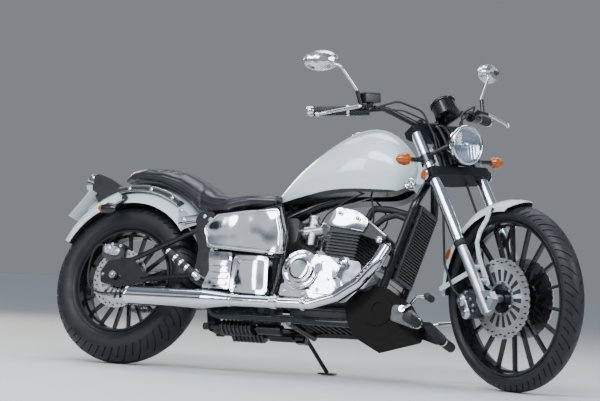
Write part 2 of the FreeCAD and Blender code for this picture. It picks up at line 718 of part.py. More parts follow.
def tilted(shape):
    """Lean an upright cylinder piece forward about the foot of the barrel."""
    shape.rotate(ORIGIN, Y, CYLINDER_TILT)
    shape.translate(vec(CYLINDER_X, 0, CYLINDER_Z))
    return shape


def barrel():
    """The finned barrel block of the two upright cylinders."""
    height = FIN_COUNT * FIN_PITCH
    core = box((-60, 52), (-98, 98), (-20, height))
    fins = [box((-70, 62), (-107, 107), (i * FIN_PITCH + 6, i * FIN_PITCH + 6 + FIN_THICK))
            for i in range(FIN_COUNT)]
    return tilted(fused([core] + fins))


def head_block():
    """The black head with its sloping front part, exhaust ports and intake stubs."""
    base = FIN_COUNT * FIN_PITCH
    body = box((-66, 64), (-HEAD_HALF, HEAD_HALF), (base, base + 50))
    intake = [rod(vec(-62, y, base + 18), vec(-92, y, base + 18), 15) for y in (-45, 45)]
    nose = side_plate([(1006, 588), (1046, 586), (1128, 526), (1120, 504), (1030, 530),
                       (1006, 536)], (-HEAD_HALF, HEAD_HALF), 6)
    cap = disc_y(1106, 510, (-HEAD_HALF - 8, -HEAD_HALF), 14)
    ports = [rod(vec(1084, y, 524), vec(1116, y, 502), 24) for y in (-PORT_SIDE, PORT_SIDE)]
    return fused([tilted(fused([body] + intake)), nose, cap] + ports)


def head_cover():
    """The bright cap over the head: sloping roof, cheeks down to the fins, and its bolts."""
    outline = [(884, 563), (906, 624), (924, 633), (1000, 620), (1045, 590), (1050, 576),
               (1036, 540)]
    cover = side_plate(outline, (-HEAD_COVER_HALF, HEAD_COVER_HALF), 7)
    step = side_plate([(886, 566), (894, 590), (1044, 566), (1036, 543)],
                      (-HEAD_COVER_HALF - 3, HEAD_COVER_HALF + 3), 5)
    bolts = [disc_y(x, z, (-HEAD_COVER_HALF - 6, HEAD_COVER_HALF + 6), 10)
             for x, z in ((932, 610), (1008, 590))]
    return fused([cover, step] + bolts)


def clutch_cover():
    """The bright right-hand engine cover: a round clutch dome and a pointed front part."""
    y = CASE_RIGHT
    x, z, r = CLUTCH_X, CLUTCH_Z, CLUTCH_RADIUS
    dome = disc_y(x, z, (y - 32, y), r)
    rim = disc_y(x, z, (y - 38, y - 32), r - 4)
    groove = disc_y(x, z, (y - 39, y - 28), r - 12)
    cap = disc_y(x, z, (y - 40, y - 28), r - 24)
    cap = cap.fuse(disc_y(x, z, (y - 43, y - 40), r - 30))
    point = side_plate([(868, 440), (932, 428), (980, 392), (972, 352), (920, 330), (868, 330)],
                       (y - 26, y), 14)
    window = side_plate([(900, 414), (934, 408), (962, 384), (955, 362), (914, 352)],
                        (y - 27, y - 20), 6)
    sump = side_plate([(745, 326), (742, 274), (1000, 268), (1052, 330), (1040, 344), (960, 330),
                       (880, 300), (800, 300)], (y - 18, y), 10)
    lip = side_plate([(880, 344), (985, 344), (1000, 312), (960, 286), (870, 286)], (y - 24, y), 12)
    body = fused([dome, rim, point.cut(window), sump, lip]).cut(groove)
    return fused([body, cap])


def generator_cover():
    """The bright left-hand engine covers: a round generator dome and the sprocket cover."""
    dome = disc_y(912, 345, (CASE_LEFT, CASE_LEFT + 48), 68)
    rim = disc_y(912, 345, (CASE_LEFT + 48, CASE_LEFT + 54), 48)
    cover = side_plate([(745, 292), (745, 402), (840, 408), (856, 300)], (CASE_LEFT, 122), 16)
    room = side_plate([(700, 284), (700, 408), (806, 402), (806, 290)], (CASE_LEFT - 1, 114), 10)
    return fused([dome, rim, cover.cut(room)])


def carburettor():
    """Twin carburettors behind the head, with their air box ahead of the side posts."""
    parts = []
    for side in (-45, 45):
        body = rod(vec(846, side, 560), vec(760, side, 546), 24)
        bowl = rod(vec(800, side, 496), vec(800, side, 556), 23)
        top = rod(vec(796, side, 560), vec(796, side, 604), 20)
        cap = rod(vec(796, side, 604), vec(796, side, 610), 23)
        parts.append(fused([body, bowl, top, cap]))
    linkage = [rod(vec(800, -45, 548), vec(800, 45, 548), 8),
               rod(vec(820, -84, 580), vec(820, -40, 580), 9)]
    return fused(parts + linkage)


def air_box():
    return side_plate([(664, 470), (664, 588), (758, 588), (762, 500), (720, 470)], (-96, 96), 14)


# Exhaust

def exhaust_nodes():
    """One long muffler and the headers that feed it, clamped to the right rail."""
    side, z = EXHAUST_SIDE, EXHAUST_Z
    r = MUFFLER_RADIUS
    tail, shoulder, taper = MUFFLER_TAIL, MUFFLER_SHOULDER, MUFFLER_TAPER
    joint = MUFFLER_JOINT
    muffler = lathe_x([(tail + 40, 0), (tail + 40, r - 9), (tail, r - 9), (tail, r - 3),
                       (tail + 6, r), (shoulder, r), (taper, PIPE_RADIUS + 4),
                       (joint - 40, PIPE_RADIUS + 3), (joint, PIPE_RADIUS + 3), (joint, 0)],
                      vec(0, side, z))
    port = vec(1118, -PORT_SIDE, 500.5)
    route = [vec(joint + SEAT_GAP, side, z), vec(905, side, z), vec(1000, side + 4, 264),
             vec(1074, -176, 322), vec(1134, -168, 404), vec(1154, -148, 470),
             vec(1126, -PORT_SIDE - 8, 488), port]
    header = pipe(route, PIPE_RADIUS, 70)
    shield = pipe(route[2:6], PIPE_RADIUS + 4, 70)
    along = (route[4] - route[3]).normalize()
    slots = [rod(route[3] + along * d + vec(0, -12, 0), route[3] + along * d + vec(0, -40, 0), 5)
             for d in (18, 36, 54, 72, 90)]
    left = pipe([vec(1118, PORT_SIDE, 500.5), vec(1124, PORT_SIDE, 470), vec(1108, 24, 418),
                 vec(1108, -100, 412), vec(1134, -166, 404)], PIPE_RADIUS - 2, 34)
    clamps = []
    for x in EXHAUST_CLAMPS:
        clamps.append(rod(vec(x - 9, side, z), vec(x + 9, side, z), PIPE_RADIUS + 4))
        clamps.append(box((x - 8, x + 8), (side, -RAIL_SIDE), (RAIL_HEIGHT - 4, 204)))
    whole = fused([header, shield, left] + clamps).cut(slots)
    return {"exhaust_muffler": muffler, "exhaust_header": whole}


# Body work

def loft_body(table, ruled):
    wires = [barrel_section(*row) for row in table]
    return Part.makeLoft(wires, True, ruled)


def fuel_tank():
    body = loft_body(TANK_SECTIONS, False)
    half = BACKBONE_RADIUS + SEAT_GAP
    tunnel = side_plate([(560, 500), (560, 560), *reversed(BACKBONE[1:]), (1130, 761),
                         (1143, 804), (1240, 928), (1300, 928), (1300, 500)],
                        (-half, half), 1)
    return body.cut([tunnel, frame_backbone(half)])


def side_cover(side):
    """The polished side panel, with a raised face inside a plain border."""
    outline = [(388, 524), (436, 578), (560, 596), (694, 606), (728, 520), (741, 423), (414, 444)]
    inner = [(410, 518), (444, 562), (566, 580), (684, 590), (712, 514), (722, 440), (430, 460)]
    panel = side_plate(outline, (-COVER_SIDE, -POST_SIDE - POST_RADIUS - SEAT_GAP), 16)
    face = side_plate(inner, (-COVER_SIDE - 4, -COVER_SIDE), 12)
    panel = fused([panel, face])
    return panel if side < 0 else mirrored(panel)


def ribbed_cover():
    """The small bright cover behind the tool box, with five raised ribs."""
    y = -RAIL_SIDE - TUBE_RADIUS - PLATE - SEAT_GAP
    base = side_plate([(424, 430), (527, 428), (538, 284), (417, 284), (440, 352)], (y - 12, y), 8)
    ribs = [box((452, 524), (y - 20, y - 12), (298 + i * 25, 310 + i * 25)) for i in range(5)]
    return fused([base] + ribs)


def tool_box():
    """The square box under the side panel: a bright frame round a bulging panel."""
    y = -RAIL_SIDE - 7
    top = MID_RAIL_Z - MID_RAIL_RADIUS - SEAT_GAP
    outline = [(542, top), (688, top), (706, 266), (546, 272)]
    inner = [(557, top - 15), (675, top - 15), (690, 282), (561, 287)]
    body = side_plate(outline, (-COVER_SIDE + 12, y), 16)
    frame = side_plate(outline, (-COVER_SIDE - 6, -COVER_SIDE + 12), 16)
    window = side_plate(inner, (-COVER_SIDE - 7, -COVER_SIDE + 12), 14)
    bulge = rod(vec(622, -COVER_SIDE - 2 + PANEL_BULGE, 200),
                vec(622, -COVER_SIDE - 2 + PANEL_BULGE, 500), PANEL_BULGE)
    panel = side_plate(inner, (-COVER_SIDE - 4, -COVER_SIDE + 14), 14).common(bulge)
    return fused([body, frame.cut(window), panel])


def centre_box():
    """Battery and electrics box between the side covers, clear of the chain run."""
    body = box((452, 662), (-RAIL_SIDE - 6.5, 80), (RAIL_HEIGHT + TUBE_RADIUS + SEAT_GAP, 560))
    return body


def radiator():
    """The cooler between the downtubes, its front cut by a row of cooling slits."""
    foot, top = vec(1182, 0, 368), vec(1250, 0, 655)
    lean = (top.x - foot.x) / (top.z - foot.z)
    core = side_plate([(foot.x, foot.z), (top.x, top.z), (top.x - 36, top.z + 8),
                       (foot.x - 36, foot.z + 8)], (-RADIATOR_HALF, RADIATOR_HALF), 3)
    slits = []
    for i in range(RADIATOR_SLITS):
        z = foot.z + 14 + i * 10.0
        x = foot.x + (z - foot.z) * lean
        slits.append(box((x - 6, x + 20), (-RADIATOR_HALF + 7, RADIATOR_HALF - 7), (z, z + 5)))
    reach = DOWNTUBE_SIDE - 4
    ears = [box((x - 24, x - 8), (-reach, reach), (z, z + 16))
            for x, z in ((1192, 410), (1234, 584))]
    return fused([core.cut(slits)] + ears)


def belly_pan():
    """The chin panel round the foot of the downtubes, open above and behind."""
    half = DOWNTUBE_SIDE + TUBE_RADIUS + PAN_WALL + SEAT_GAP
    outer = side_plate([(1120, 332), (1180, 322), (1246, 232), (1236, 180), (1068, 130),
                        (1034, 184), (1012, 246), (1058, 287)], (-half, half), 14)
    room = side_plate([(1110, 344), (1176, 316), (1240, 230), (1231, 185), (1070, 136),
                       (1030, 140), (990, 250), (1040, 300)],
                      (-half + PAN_WALL, half - PAN_WALL), 12)
    disc = disc_y(1146, 240, (-half - 3, -half), 58)
    disc = disc.cut(disc_y(1146, 246, (-half - 4, -half + 1), 24))
    return fused([outer.cut(room)] + both_sides(disc))


def foot_controls():
    """A forward foot rest on its bracket, with the pedal that swings ahead of it."""
    y = -DOWNTUBE_SIDE - TUBE_RADIUS - PAN_WALL - SEAT_GAP
    bracket = side_plate([(1204, 262), (1262, 262), (1328, 212), (1328, 184), (1296, 178),
                          (1204, 204)], (y - 8, y), 12)
    peg = rod(vec(1312, y - 6, 196), vec(1312, y - 112, 194), 16)
    collar = rod(vec(1312, y - 8, 196), vec(1312, y - 20, 196), 19)
    pivot = disc_y(1248, 246, (y - 22, y - 8), 12)
    lever = pipe([vec(1248, y - 16, 246), vec(1282, y - 26, 262), vec(1329, y - 78, 281),
                  vec(1378, y - 86, 273)], 6.5, 30)
    pad = rod(vec(1378, y - 68, 273), vec(1378, y - 118, 273), 10)
    return fused([bracket, peg, collar, pivot, lever, pad])


def passenger_peg():
    """A folded passenger foot rest pointing up and back from the pivot plate."""
    y = -RAIL_SIDE - TUBE_RADIUS - PLATE
    foot, tip = vec(400, y - 23, 322), vec(262, y - 42, 415)
    along = (tip - foot).normalize()
    boss = disc_y(400, 322, (y - 26, y), 14)
    rings = [rod(foot + along * d, foot + along * (d + 9), 17) for d in (52, 84, 116)]
    return fused([boss, rod(foot, tip, 13), rod(foot, foot + along * 40, 9)] + rings)


def tail_lamp():
    """The tail lamp: a wedge housing on the fender and a round lens facing back."""
    housing = side_plate([(-240, 766), (-216, 774), (-151, 752), (-92, 716), (-96, 660),
                          (-196, 650), (-232, 704)], (-40, 40), 9)
    crown = lathe_y(channel(REAR_FENDER_RADIUS, REAR_FENDER_DEPTH, REAR_FENDER_HALF, 80), 121, 38,
                    vec(REAR_FENDER_X, 0, REAR_FENDER_Z))
    face, along = vec(-236, 0, 736), vec(-0.93, 0, 0.36)
    lens = rod(face - along * 10, face + along * 24, 34)
    return fused([housing.cut(crown), lens])


def number_plate():
    """A blank plate leaning back behind the fender, on an arm from the lamp housing."""
    plate = side_plate([(-213, 690), (-209, 692), (-293, 578), (-297, 576)], (-85, 85), 1)
    arm = side_plate([(-192, 702), (-196, 670), (-254, 618), (-264, 634), (-214, 690)],
                     (-14, 14), 4)
    return plate, arm


def rear_indicator(fender):
    side = REAR_FENDER_HALF
    body = lathe_x([(-22, 0), (-22, 12), (-38, 22), (-64, 24), (-90, 19), (-104, 9), (-107, 0)],
                   vec(0, -side - 60, 588))
    stalk = rod(vec(-30, -side + 8, 652), vec(-46, -side - 60, 592), 8)
    boss = disc_y(-30, 652, (-side - 8, -side + 12), 13)
    return main_solid(fused([body, stalk, boss]).cut(fender))


# Side stand

def stand_axis():
    leg = stand_foot() - stand_pivot()
    folded = vec(-0.985, 0.16, 0.06)
    return leg.cross(folded).normalize()


def stand_pivot():
    return vec(STAND_X, STAND_SIDE, STAND_Z)


def stand_foot():
    """The foot's centre on the ground, in the upright machine's frame."""
    lean = math.radians(LEAN)
    lift = ground_lift()
    height = (STAND_FOOT_SIDE * math.sin(lean) - lift) / math.cos(lean)
    return vec(STAND_FOOT_X, STAND_FOOT_SIDE, height)


def ground_lift():
    """How far the leaned rear tyre raises its axle above a knife-edged wheel's height."""
    lean = math.radians(LEAN)
    return REAR_TYRE_CROWN * (1 - math.cos(lean))


def stand_bracket():
    """The lug on the left rail that carries the stand's pin."""
    axis, pivot = stand_axis(), stand_pivot()
    pin = rod(pivot - axis * 22, pivot + axis * 22, STAND_PIN_RADIUS)
    ears = [rod(pivot - axis * 22, pivot - axis * 12.3, 15),
            rod(pivot + axis * 12.3, pivot + axis * 22, 15)]
    block = box((STAND_X - 20, STAND_X + 20), (RAIL_SIDE, STAND_SIDE - 8),
                (STAND_Z - 34, STAND_Z + 30))
    block = block.cut(rod(pivot - axis * 12.3, pivot + axis * 12.3, 24))
    return fused([pin, block] + ears)


def side_stand():
    """The leg: a boss on the pin, a bent round leg and a flat foot on the ground."""
    axis, pivot, foot = stand_axis(), stand_pivot(), stand_foot()
    boss = rod(pivot - axis * 12, pivot + axis * 12, 15)
    leg = rod(pivot, foot + vec(0, 0, 6), 8)
    pad = Part.makeBox(64, 40, 6, vec(-32, -20, 0))
    pad.Placement = FreeCAD.Placement(foot, FreeCAD.Rotation(X, LEAN))
    bore = rod(pivot - axis * 40, pivot + axis * 40, STAND_PIN_RADIUS + AXLE_CLEARANCE)
    ground = Part.makeBox(400, 400, 60, vec(-200, -200, -60))
    ground.Placement = pad.Placement
    return fused([boss, leg, pad]).cut([bore, ground])


# Fork, bars and lamps, in the fork's frame

def plan_plate(outline, z, radius=8.0):
    """A plate from an outline of (x, y) points, between two heights, corners rounded."""
    wire = rounded_wire([vec(px, py, z[0]) for px, py in outline], radius)
    return Part.Face(wire).extrude(vec(0, 0, z[1] - z[0]))


def lathe_x(profile, centre):
    """Turn a closed (x, radius) profile about a fore-and-aft axis."""
    points = [vec(x, r, 0) for x, r in profile]
    solid = Part.Face(Part.makePolygon(points + [points[0]])).revolve(ORIGIN, X, 360)
    solid.translate(centre)
    return solid


def fork_leg():
    side = -LEG_SIDE
    upper = rod(vec(LEG_AHEAD, side, LEG_STEP), vec(LEG_AHEAD, side, LEG_TOP), LEG_UPPER_RADIUS)
    lower = rod(vec(LEG_AHEAD, side, LEG_BOTTOM), vec(LEG_AHEAD, side, LEG_STEP),
                LEG_LOWER_RADIUS)
    lug = side_plate([(LEG_AHEAD - 22, 30), (LEG_AHEAD - 22, -38), (LEG_AHEAD + 16, -38),
                      (22, -20), (22, 20), (LEG_AHEAD + 16, 44)], (side - 12, side + 14), 12)
    return fused([upper, lower, lug])


def fork_legs():
    """Both fork legs and the axle that joins them; the front wheel turns on it."""
    reach = LEG_SIDE + 18
    axle = disc_y(0, 0, (-reach, reach), AXLE_RADIUS)
    ends = both_sides(disc_y(0, 0, (-reach - 1, -reach + AXLE_BORE_DEPTH), AXLE_BORE))
    sleeve = disc_y(0, 0, (FRONT_DISC_SIDE + DISC_THICKNESS / 2 + WHEEL_GAP, LEG_SIDE), 15)
    return fused(both_sides(fork_leg()) + both_sides(sleeve) + [axle]).cut(ends)


def yoke_outline(front, rear, half):
    return [(front, -half + 20), (front - 6, -half), (rear + 14, -half), (rear, -half + 30),
            (rear - 12, 0), (rear, half - 30), (rear + 14, half), (front - 6, half),
            (front, half - 20)]


def lower_yoke():
    """The lower yoke with the steering stem that turns in the head tube."""
    plate = plan_plate(yoke_outline(0, -72, LEG_SIDE + 30),
                       (LOWER_YOKE, LOWER_YOKE + LOWER_YOKE_THICK))
    stem = rod(vec(-FORK_OFFSET, 0, LOWER_YOKE), vec(-FORK_OFFSET, 0, UPPER_YOKE),
               STEM_RADIUS)
    pad = disc_y(LEG_AHEAD, LOWER_YOKE + LOWER_YOKE_THICK / 2, (-LEG_SIDE - 42, -LEG_SIDE), 20)
    return fused([plate, stem] + both_sides(pad))


def handlebar_route():
    half = [vec(BAR_AHEAD, -60, BAR_UP), vec(-70, -190, 874), vec(-100, -280, 879),
            vec(-184, -446, 924)]
    left = [vec(p.x, -p.y, p.z) for p in half]
    return list(reversed(half)) + left


def handlebar():
    return pipe(handlebar_route(), BAR_RADIUS, 60)


def grip_axis():
    """The straight stretch under the right hand, from its inner end outwards."""
    route = handlebar_route()
    return route[1], (route[0] - route[1]).normalize()


def grip():
    start, along = grip_axis()
    length = (handlebar_route()[0] - start).Length
    return rod(start + along * GRIP_START, start + along * (length + 4), GRIP_RADIUS)


def bar_control(with_reservoir):
    """Switch block, lever perch and hand lever of one side."""
    start, along = grip_axis()
    block = rod(start - along * 34, start + along * (GRIP_START - SEAT_GAP), GRIP_RADIUS + 5)
    perch = rod(start - along * 20, vec(-50, -268, 868), 11)
    lever = pipe([vec(-50, -268, 868), vec(-54, -322, 862), vec(-104, -440, 862),
                  vec(-120, -470, 863)], 6, 60)
    ball = Part.makeSphere(9, vec(-120, -472, 863))
    parts = [block, perch, lever, ball]
    if with_reservoir:
        tank = Part.makeBox(46, 74, 32, vec(-23, -37, -16))
        tank.Placement = FreeCAD.Placement(vec(-54, -258, 902), FreeCAD.Rotation(Y, RAKE))
        parts.append(tank)
        parts.append(rod(vec(-54, -258, 890), vec(-60, -262, 868), 12))
    return fused(parts)


def riser():
    return rod(vec(BAR_AHEAD, -44, UPPER_YOKE + UPPER_YOKE_THICK), vec(BAR_AHEAD, -44, BAR_UP + 16),
               15)


def upper_yoke():
    """The upper yoke with the two risers that clamp the handlebar."""
    plate = plan_plate(yoke_outline(-6, -84, LEG_SIDE + 26),
                       (UPPER_YOKE, UPPER_YOKE + UPPER_YOKE_THICK))
    return fused([plate] + both_sides(riser()))


def ellipse_wire(x, y, z, half_y, half_z):
    curve = Part.Ellipse(vec(x, y + half_y, z), vec(x, y, z + half_z), vec(x, y, z))
    return Part.Wire(curve.toShape())


def mirror_unit():
    """A mirror: stem from the lever's perch and an oval head with a domed back."""
    foot = vec(-64, -300, 872)
    stem = pipe([foot, vec(-46, -309, 934), vec(-20, -366, 1020), vec(-44, -388, 1052)], 5, 40)
    sleeve = rod(foot, foot + (vec(-46, -309, 934) - foot) * 0.9, 8)
    table = [(-20, 66, 37), (-16, 68, 39), (-2, 68, 39), (12, 60, 34), (22, 42, 23), (27, 20, 11)]
    wires = [ellipse_wire(x, 0, 0, a, b) for x, a, b in table]
    head = Part.makeLoft(wires, True, True)
    turn = FreeCAD.Rotation(Y, RAKE * 0.9).multiply(FreeCAD.Rotation(Z, -MIRROR_TURN))
    head.Placement = FreeCAD.Placement(vec(-51, -MIRROR_SIDE, MIRROR_UP), turn)
    return fused([head, stem, sleeve])


def levelled(shape, ahead, up):
    """Set a piece at a point of the fork's frame with its axis level, not square to the legs."""
    shape.Placement = FreeCAD.Placement(vec(ahead, 0, up), FreeCAD.Rotation(Y, RAKE))
    return shape


def headlight_shell():
    """A round lamp bowl with a rolled rim and a recess for the lens."""
    r, depth = HEADLIGHT_RADIUS, HEADLIGHT_DEPTH
    profile = [(-depth, 0), (-depth, r * 0.35), (-depth + 10, r * 0.66), (-depth + 28, r * 0.87),
               (-20, r - 3), (-18, r + 1), (0, r + 1), (0, r - 7), (-10, r - 7), (-14, 0)]
    return levelled(lathe_x(profile, ORIGIN), HEADLIGHT_AHEAD, HEADLIGHT_UP)


def headlight_lens():
    r = HEADLIGHT_RADIUS - 7 - SEAT_GAP
    profile = [(-9.7, 0), (-9.7, r), (-2, r), (3, r * 0.7), (6, 0)]
    return levelled(lathe_x(profile, ORIGIN), HEADLIGHT_AHEAD, HEADLIGHT_UP)


def headlight_arm():
    middle = HEADLIGHT_DEPTH / 2
    rake = math.radians(RAKE)
    x = HEADLIGHT_AHEAD - middle * math.cos(rake)
    z = HEADLIGHT_UP + middle * math.sin(rake)
    return rod(vec(LEG_AHEAD + 4, -LEG_SIDE, z), vec(x, -58, z), 8)


def headlight_room():
    """The space inside the bowl, which its arms stop at."""
    r = HEADLIGHT_RADIUS - 4
    room = lathe_x([(-HEADLIGHT_DEPTH + 8, 0), (-HEADLIGHT_DEPTH + 12, r * 0.6), (-20, r - 2),
                    (-20, 0)], ORIGIN)
    return levelled(room, HEADLIGHT_AHEAD, HEADLIGHT_UP)


def speedometer():
    """A round instrument cup on a tongue from the upper yoke."""
    top = UPPER_YOKE + UPPER_YOKE_THICK
    foot, head = vec(42, 0, top + 10), vec(40, 0, top + 70)
    along = (head - foot).normalize()
    cup = rod(foot, head, SPEEDOMETER_RADIUS)
    bezel = rod(head - along * 6, head + along * 3, SPEEDOMETER_RADIUS + 3)
    glass = rod(head, head + along * 4, SPEEDOMETER_RADIUS - 4)
    tongue = box((-30, 56), (-18, 18), (top, top + 6))
    stem = rod(vec(42, 0, top), vec(42, 0, top + 16), 20)
    return fused([cup, bezel.cut(glass), tongue, stem])


def front_indicator():
    """A teardrop lamp on a short black stem from a ring round the fork leg."""
    z = HEADLIGHT_UP + 4
    ring = rod(vec(LEG_AHEAD, -LEG_SIDE, z - 16), vec(LEG_AHEAD, -LEG_SIDE, z + 16),
               LEG_UPPER_RADIUS + 6)
    stalk = rod(vec(LEG_AHEAD, -LEG_SIDE - 20, z), vec(LEG_AHEAD, -206, z), 9)
    body = lathe_y([(0, 262), (9, 258), (19, 244), (24, 226), (22, 210), (12, 198), (0, 198)],
                   centre=vec(LEG_AHEAD, 0, z))
    return fused([ring, stalk, mirrored(body)])


def front_fender():
    """A short fender with a rounded nose and curved stays down to the fork legs."""
    crown, half, sheet = FRONT_FENDER_RADIUS, FRONT_FENDER_HALF, FENDER_SHEET
    outer = lathe_y(channel(crown, FRONT_FENDER_DEPTH, half), 103, 45)
    inner = lathe_y(channel(crown - sheet, FRONT_FENDER_DEPTH + 8, half - sheet), 116, 38)
    nose_angle = math.radians(FENDER_NOSE_ANGLE)
    radial = vec(math.cos(nose_angle), 0, math.sin(nose_angle))
    tangent = vec(math.sin(nose_angle), 0, -math.cos(nose_angle))
    middle = radial * (crown - 90)
    nose = Part.Ellipse(middle + tangent * FENDER_NOSE, middle + Y * (half + 1), middle)
    keep = Part.Face(Part.Wire(nose.toShape())).extrude(radial * 140)
    ahead = Part.makeBox(160, 2 * half + 20, 200, vec(0, -half - 10, 0))
    ahead.Placement = FreeCAD.Placement(radial * (crown - 100), FreeCAD.Rotation(tangent, Y, radial))
    sheet_piece = outer.cut(inner).cut(ahead.cut(keep))
    y = -(FRONT_DISC_SIDE + DISC_THICKNESS / 2 + 7)
    stay = strip([(140, 304), (96, 274), (42, 256), (6, 230), (-10, 186), (-18, 124), (-22, 66)],
                 9, (y - 5, y), 14)
    back = strip([(-26, 150), (-140, 170), (-262, 192)], 9, (y - 5, y), 8)
    bosses = [disc_y(x, z, (y, -half + 6), 8).cut(inner) for x, z in ((132, 298), (-252, 190))]
    feet = [disc_y(x, z, (-LEG_SIDE, y - 5), 9) for x, z in ((-22, 90), (-30, 152))]
    return fused([sheet_piece] + both_sides(fused([stay, back] + bosses + feet)))


def front_caliper():
    """A caliper behind the fork leg, astride the disc's rear edge."""
    side = -FRONT_DISC_SIDE
    body = side_plate([(-176, 98), (-120, 110), (-88, 70), (-92, 8), (-126, -8), (-172, 14),
                       (-184, 58)], (side - 34, side + 22), 14)
    piston = [disc_y(x, z, (side - 40, side - 30), 17) for x, z in ((-142, 72), (-142, 30))]
    gap = DISC_THICKNESS / 2 + PAD_GAP
    slot = disc_y(0, 0, (side - gap, side + gap), FRONT_DISC_RADIUS + 5)
    arm = side_plate([(-116, 70), (-30, 60), (-30, 10), (-116, 24)],
                     (side - 42, side - 34), 8)
    return fused([body.cut(slot), arm] + piston)


def coolant_hoses():
    """The two rubber hoses between the head and the radiator."""
    upper = pipe([vec(1012, -30, 612), vec(1030, -34, 655), vec(1108, -38, 648),
                  vec(1190, -40, 628), vec(1212, -40, 622)], 13, 34)
    second = pipe([vec(1056, -66, 570), vec(1096, -68, 606), vec(1140, -62, 622),
                   vec(1206, -60, 600)], 11, 30)
    return [upper, second]


def brake_hose(side):
    """The hose of one front caliper, from the lower yoke down behind the fork leg."""
    points = [vec(-60, side * 60, LOWER_YOKE + 8), vec(-74, side * 70, 470),
              vec(-100, side * 90, 380), vec(-168, side * 94, 250), vec(-176, side * 96, 150),
              vec(-160, side * 90, 96)]
    return pipe(points, 4.5, 50)


def bar_cables(side):
    """Cables from one switch block down past the upper yoke to the lower one."""
    first = pipe([vec(-56, side * 240, 862), vec(14, side * 190, 846), vec(22, side * 96, 800),
                  vec(4, side * 70, 700), vec(-12, side * 74, 600), vec(-20, side * 76, 566)],
                 4, 44)
    second = pipe([vec(-62, side * 216, 860), vec(-8, side * 160, 820), vec(6, side * 86, 770),
                   vec(-2, side * 52, 690), vec(-14, side * 58, 566)], 3.5, 40)
    return [first, second]


def build_upright():
    nodes = frame_nodes()
    axle = rear_axle()
    arm = swingarm()
    nodes["swingarm"] = arm.cut(axle)
    nodes["axle_and_pivot"] = Part.makeCompound([axle, pivot_bolt()])
    nodes["under_shocks"] = under_shocks().cut([arm, nodes["frame_cradle"]])
    nodes["drive_chain"] = drive_chain()
    nodes["rear_caliper"] = rear_caliper()
    nodes.update(rear_fender_nodes())
    bracket = fender_bracket(nodes["rear_fender"])
    nodes["fender_brackets"] = Part.makeCompound(
        both_sides(main_solid(bracket.cut(
            [nodes["frame_cradle"], nodes["frame_seat_posts"]]))))
    nodes["crankcase"] = crankcase().cut(nodes["frame_downtubes"])
    nodes["cylinder_barrels"] = barrel().cut(nodes["crankcase"])
    nodes["cylinder_head"] = head_block().cut(nodes["cylinder_barrels"])
    nodes["head_cover"] = head_cover().cut(
        [nodes["cylinder_head"], nodes["cylinder_barrels"]])
    nodes["engine_cover_right"] = clutch_cover().cut(nodes["crankcase"])
    nodes["engine_cover_left"] = generator_cover().cut(nodes["crankcase"])
    nodes["carburettors"] = carburettor().cut(nodes["cylinder_head"])
    nodes["air_box"] = air_box().cut([nodes["carburettors"], nodes["frame_seat_posts"]])
    exhaust = exhaust_nodes()
    exhaust["exhaust_header"] = main_solid(exhaust["exhaust_header"].cut(
        [nodes["frame_cradle"], nodes["cylinder_head"], nodes["head_cover"]]))
    nodes.update(exhaust)
    nodes["fuel_tank"] = fuel_tank()
    fender_room = disc_y(REAR_FENDER_X, REAR_FENDER_Z, (-200, 200),
                         REAR_FENDER_RADIUS + SEAT_GAP)
    nodes["seat"] = loft_body(SEAT_SECTIONS, True).cut(
        [fender_room, nodes["frame_seat_posts"], nodes["fuel_tank"]])
    nodes["fuel_tank"] = nodes["fuel_tank"].cut(nodes["frame_neck"])
    panel = side_cover(-1).cut([nodes["frame_cradle"], nodes["frame_seat_posts"]])
    nodes["side_covers"] = Part.makeCompound(both_sides(panel))
    lower = fused([ribbed_cover()]), tool_box()
    nodes["lower_covers"] = Part.makeCompound(
        [piece for solid in lower
         for piece in both_sides(solid.cut([nodes["frame_seat_posts"], nodes["frame_cradle"]]))])
    nodes["centre_box"] = centre_box().cut([nodes["frame_cradle"], nodes["frame_seat_posts"]])
    nodes["radiator"] = radiator().cut(nodes["frame_downtubes"])
    nodes["belly_pan"] = belly_pan().cut(nodes["frame_downtubes"])
    nodes["foot_controls"] = Part.makeCompound(both_sides(foot_controls()))
    nodes["passenger_pegs"] = Part.makeCompound(both_sides(passenger_peg()))
    nodes["tail_lamp"] = tail_lamp()
    plate, arm_piece = number_plate()
    nodes["number_plate"] = main_solid(fused([plate, arm_piece]).cut(
        [nodes["tail_lamp"], nodes["rear_fender"]]))
    nodes["rear_indicators"] = Part.makeCompound(
        both_sides(rear_indicator(nodes["rear_fender"])))
    nodes["stand_bracket"] = stand_bracket().cut(
        [nodes["frame_cradle"], nodes["frame_seat_posts"]])
    nodes["coolant_hoses"] = Part.makeCompound(
        [hose.cut([nodes["radiator"], nodes["cylinder_head"], nodes["crankcase"],
                   nodes["head_cover"]]) for hose in coolant_hoses()])
    return nodes


